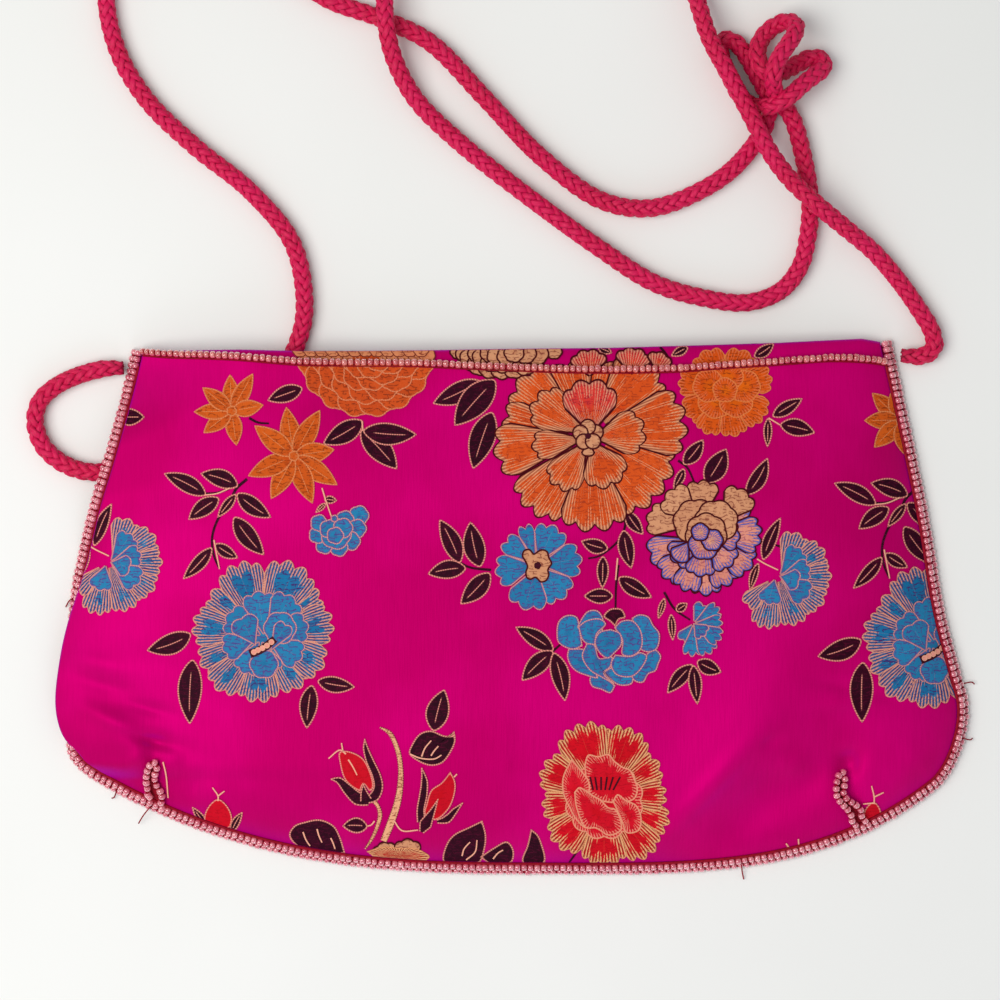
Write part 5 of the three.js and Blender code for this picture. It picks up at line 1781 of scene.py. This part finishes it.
def seam_row(inset, height):
    """A row along the seam, tucked in where the left side bulges over it."""
    t = np.linspace(0, 3, 400)
    px, py = inset_point(t, inset + TUCK * cover_spread(1 - t))
    return np.stack([px, py, height + lift(px, py)], axis=-1)


strings = []
for name, inset, height in (
    ("edge_beads_front", SEAM_STEP, FRONT_ROW_HEIGHT),
    ("edge_beads_back", 0.0, BACK_ROW_HEIGHT),
):
    strings.append(seam_row(inset, height))
    row = bead_string(name, strings[-1], bead_material)
    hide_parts(name.replace("edge_beads", "edge_bead_string"))

# The row of beads under the mouth's fold, in the picture.
TOP_ROW = [
    (139, 351.2), (167, 353.5), (204, 354.6), (241, 356.3), (270, 358.8), (296.5, 360.9), (352, 362.2),
    (420, 362.7),
    (465, 364.8), (514, 366.9), (576, 368.8), (639, 368.8), (686, 367.5), (717, 365), (764, 361.9),
    (795, 359.7),
    (826, 357.5), (857, 358), (876, 359.8), (888, 361.7),
]


def along_top_row(down, height):
    """The top row's line on the silk, moved down the picture by some pixels, at a height over the silk."""
    places = picture_curve(TOP_ROW, 12)
    line, _ = lay_on_silk(places[:, 0], places[:, 1] + down, 0)
    return line + [0.0, 0.0, height - FLOAT_PROUD]


top_row = along_top_row(0.0, BEAD / 2 + GAP)
row = bead_string("top_beads", top_row, coral_glass, pitch=1.62)
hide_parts("top_bead_string")
strings.append(top_row)

# Each dart's hairpin of beads in the picture, up one strand and down the other.
HAIRPINS = {
    "left_dart": [
        (150, 812), (151.5, 805), (149, 796), (147.5, 787), (146.5, 777), (148.5, 768), (153, 762),
        (157, 765), (156, 772),
        (155.2, 780), (157.5, 787), (161.5, 793), (162.6, 801), (161.5, 809),
    ],
    "right_dart": [
        (855, 832), (852, 822), (849.5, 812), (843.5, 805.5), (838.5, 800), (836, 793), (836, 784),
        (839, 774),
        (842.5, 772), (844.2, 779.5), (844, 787), (843.4, 794), (848, 799.5), (854, 803.5), (859.5, 808.5),
        (861.5, 817),
        (864.5, 828),
    ],
}
for dart, places in HAIRPINS.items():
    column, row = np.array(places, float).T
    line, _ = lay_on_silk(column, row, 0)
    line = curve_through(line + [0.0, 0.0, BEAD / 2 + GAP])
    strings.append(line)
    beads = bead_string(dart + "_beads", line, bead_material)
    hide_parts(dart + "_bead_string")
lay_threads("bead_threads", strings, 0.5)

# %% [markdown]
# The dark crimson threads beside the beads of the seam and the mouth are painted shade: they stand for
# the dark line that the beads cast there. A few thread ends hang loose, and each dart has a narrow
# crimson strip between its beads, painted shade for the hollow of its fold. The painted shade lines
# are round threads along the same paths as the beads, moved a little. The darts' painted shade strips
# are ribbons laid on the silk like the woven strokes.

# %% Painted shade lines beside the beads
SHADE_LINE_INSET = 0.95  # from the front's bead row to the painted shade line beside it
SHADE_LINE_LIFT = 0.35
MOUTH_SHADE_LINES = (2.4, 4.0)  # how far below the top row they lie, in pixels of the picture
# Painted shade: dark crimson threads beside the seam's beads and under the mouth's beads stand for the shade
# that the beads cast.
seam_t = np.linspace(0.03, 2.97, 300)
shade_line_x, shade_line_y = inset_point(seam_t, SEAM_STEP + SHADE_LINE_INSET + TUCK * cover_spread(1 - seam_t))
shade_line_z = FRONT_ROW_HEIGHT + SHADE_LINE_LIFT + lift(shade_line_x, shade_line_y)
lay_threads("seam_shade_thread", [np.stack([shade_line_x, shade_line_y, shade_line_z], axis=-1)], 0.46)
lay_threads("mouth_shade_threads", [along_top_row(down, 0.28) for down in MOUTH_SHADE_LINES], 0.26)

# %% Loose thread ends and the painted shade in the darts
ENDS = [
    [(741, 864, 1.9), (742, 872, 1.2), (743.5, 879, 0.6)],
    [(152, 805, 4.2), (144, 815, 3.0), (139, 823, 1.6)],
    [(118, 787, 2.4), (114.5, 797, 1.2), (112, 798, 0.9)],
    [(963, 683, 2.2), (971.5, 682, 1.2), (974, 684, 0.8)],
    [(960, 737, 2.2), (970, 739.5, 1.2), (972, 738, 0.8)],
    [(75, 597, 2.6), (69.5, 601, 1.4), (66, 607, 0.8)],
]
loose = []
for places in ENDS:
    spots = [((c - MIDDLE_COLUMN) * PIXEL, (MIDDLE_ROW - r) * PIXEL, z) for c, r, z in places]
    loose.append(curve_through(np.array(spots), 6))
lay_threads("loose_thread_ends", loose, 0.17)
# Painted shade: a crimson strip between each dart's beads stands for the shade in the hollow of its fold.
dart_shade_strips = [
    [stroke([(156, 814), (156, 803), (152, 788), (151, 776), (155, 763)], 15, 9)],
    [stroke([(859, 832), (855, 817), (846, 803), (840, 790), (841, 774)], 14, 8)],
]
weave_piece("dart_painted_shade", dart_shade_strips, thread_and_shade_material, layer=1)
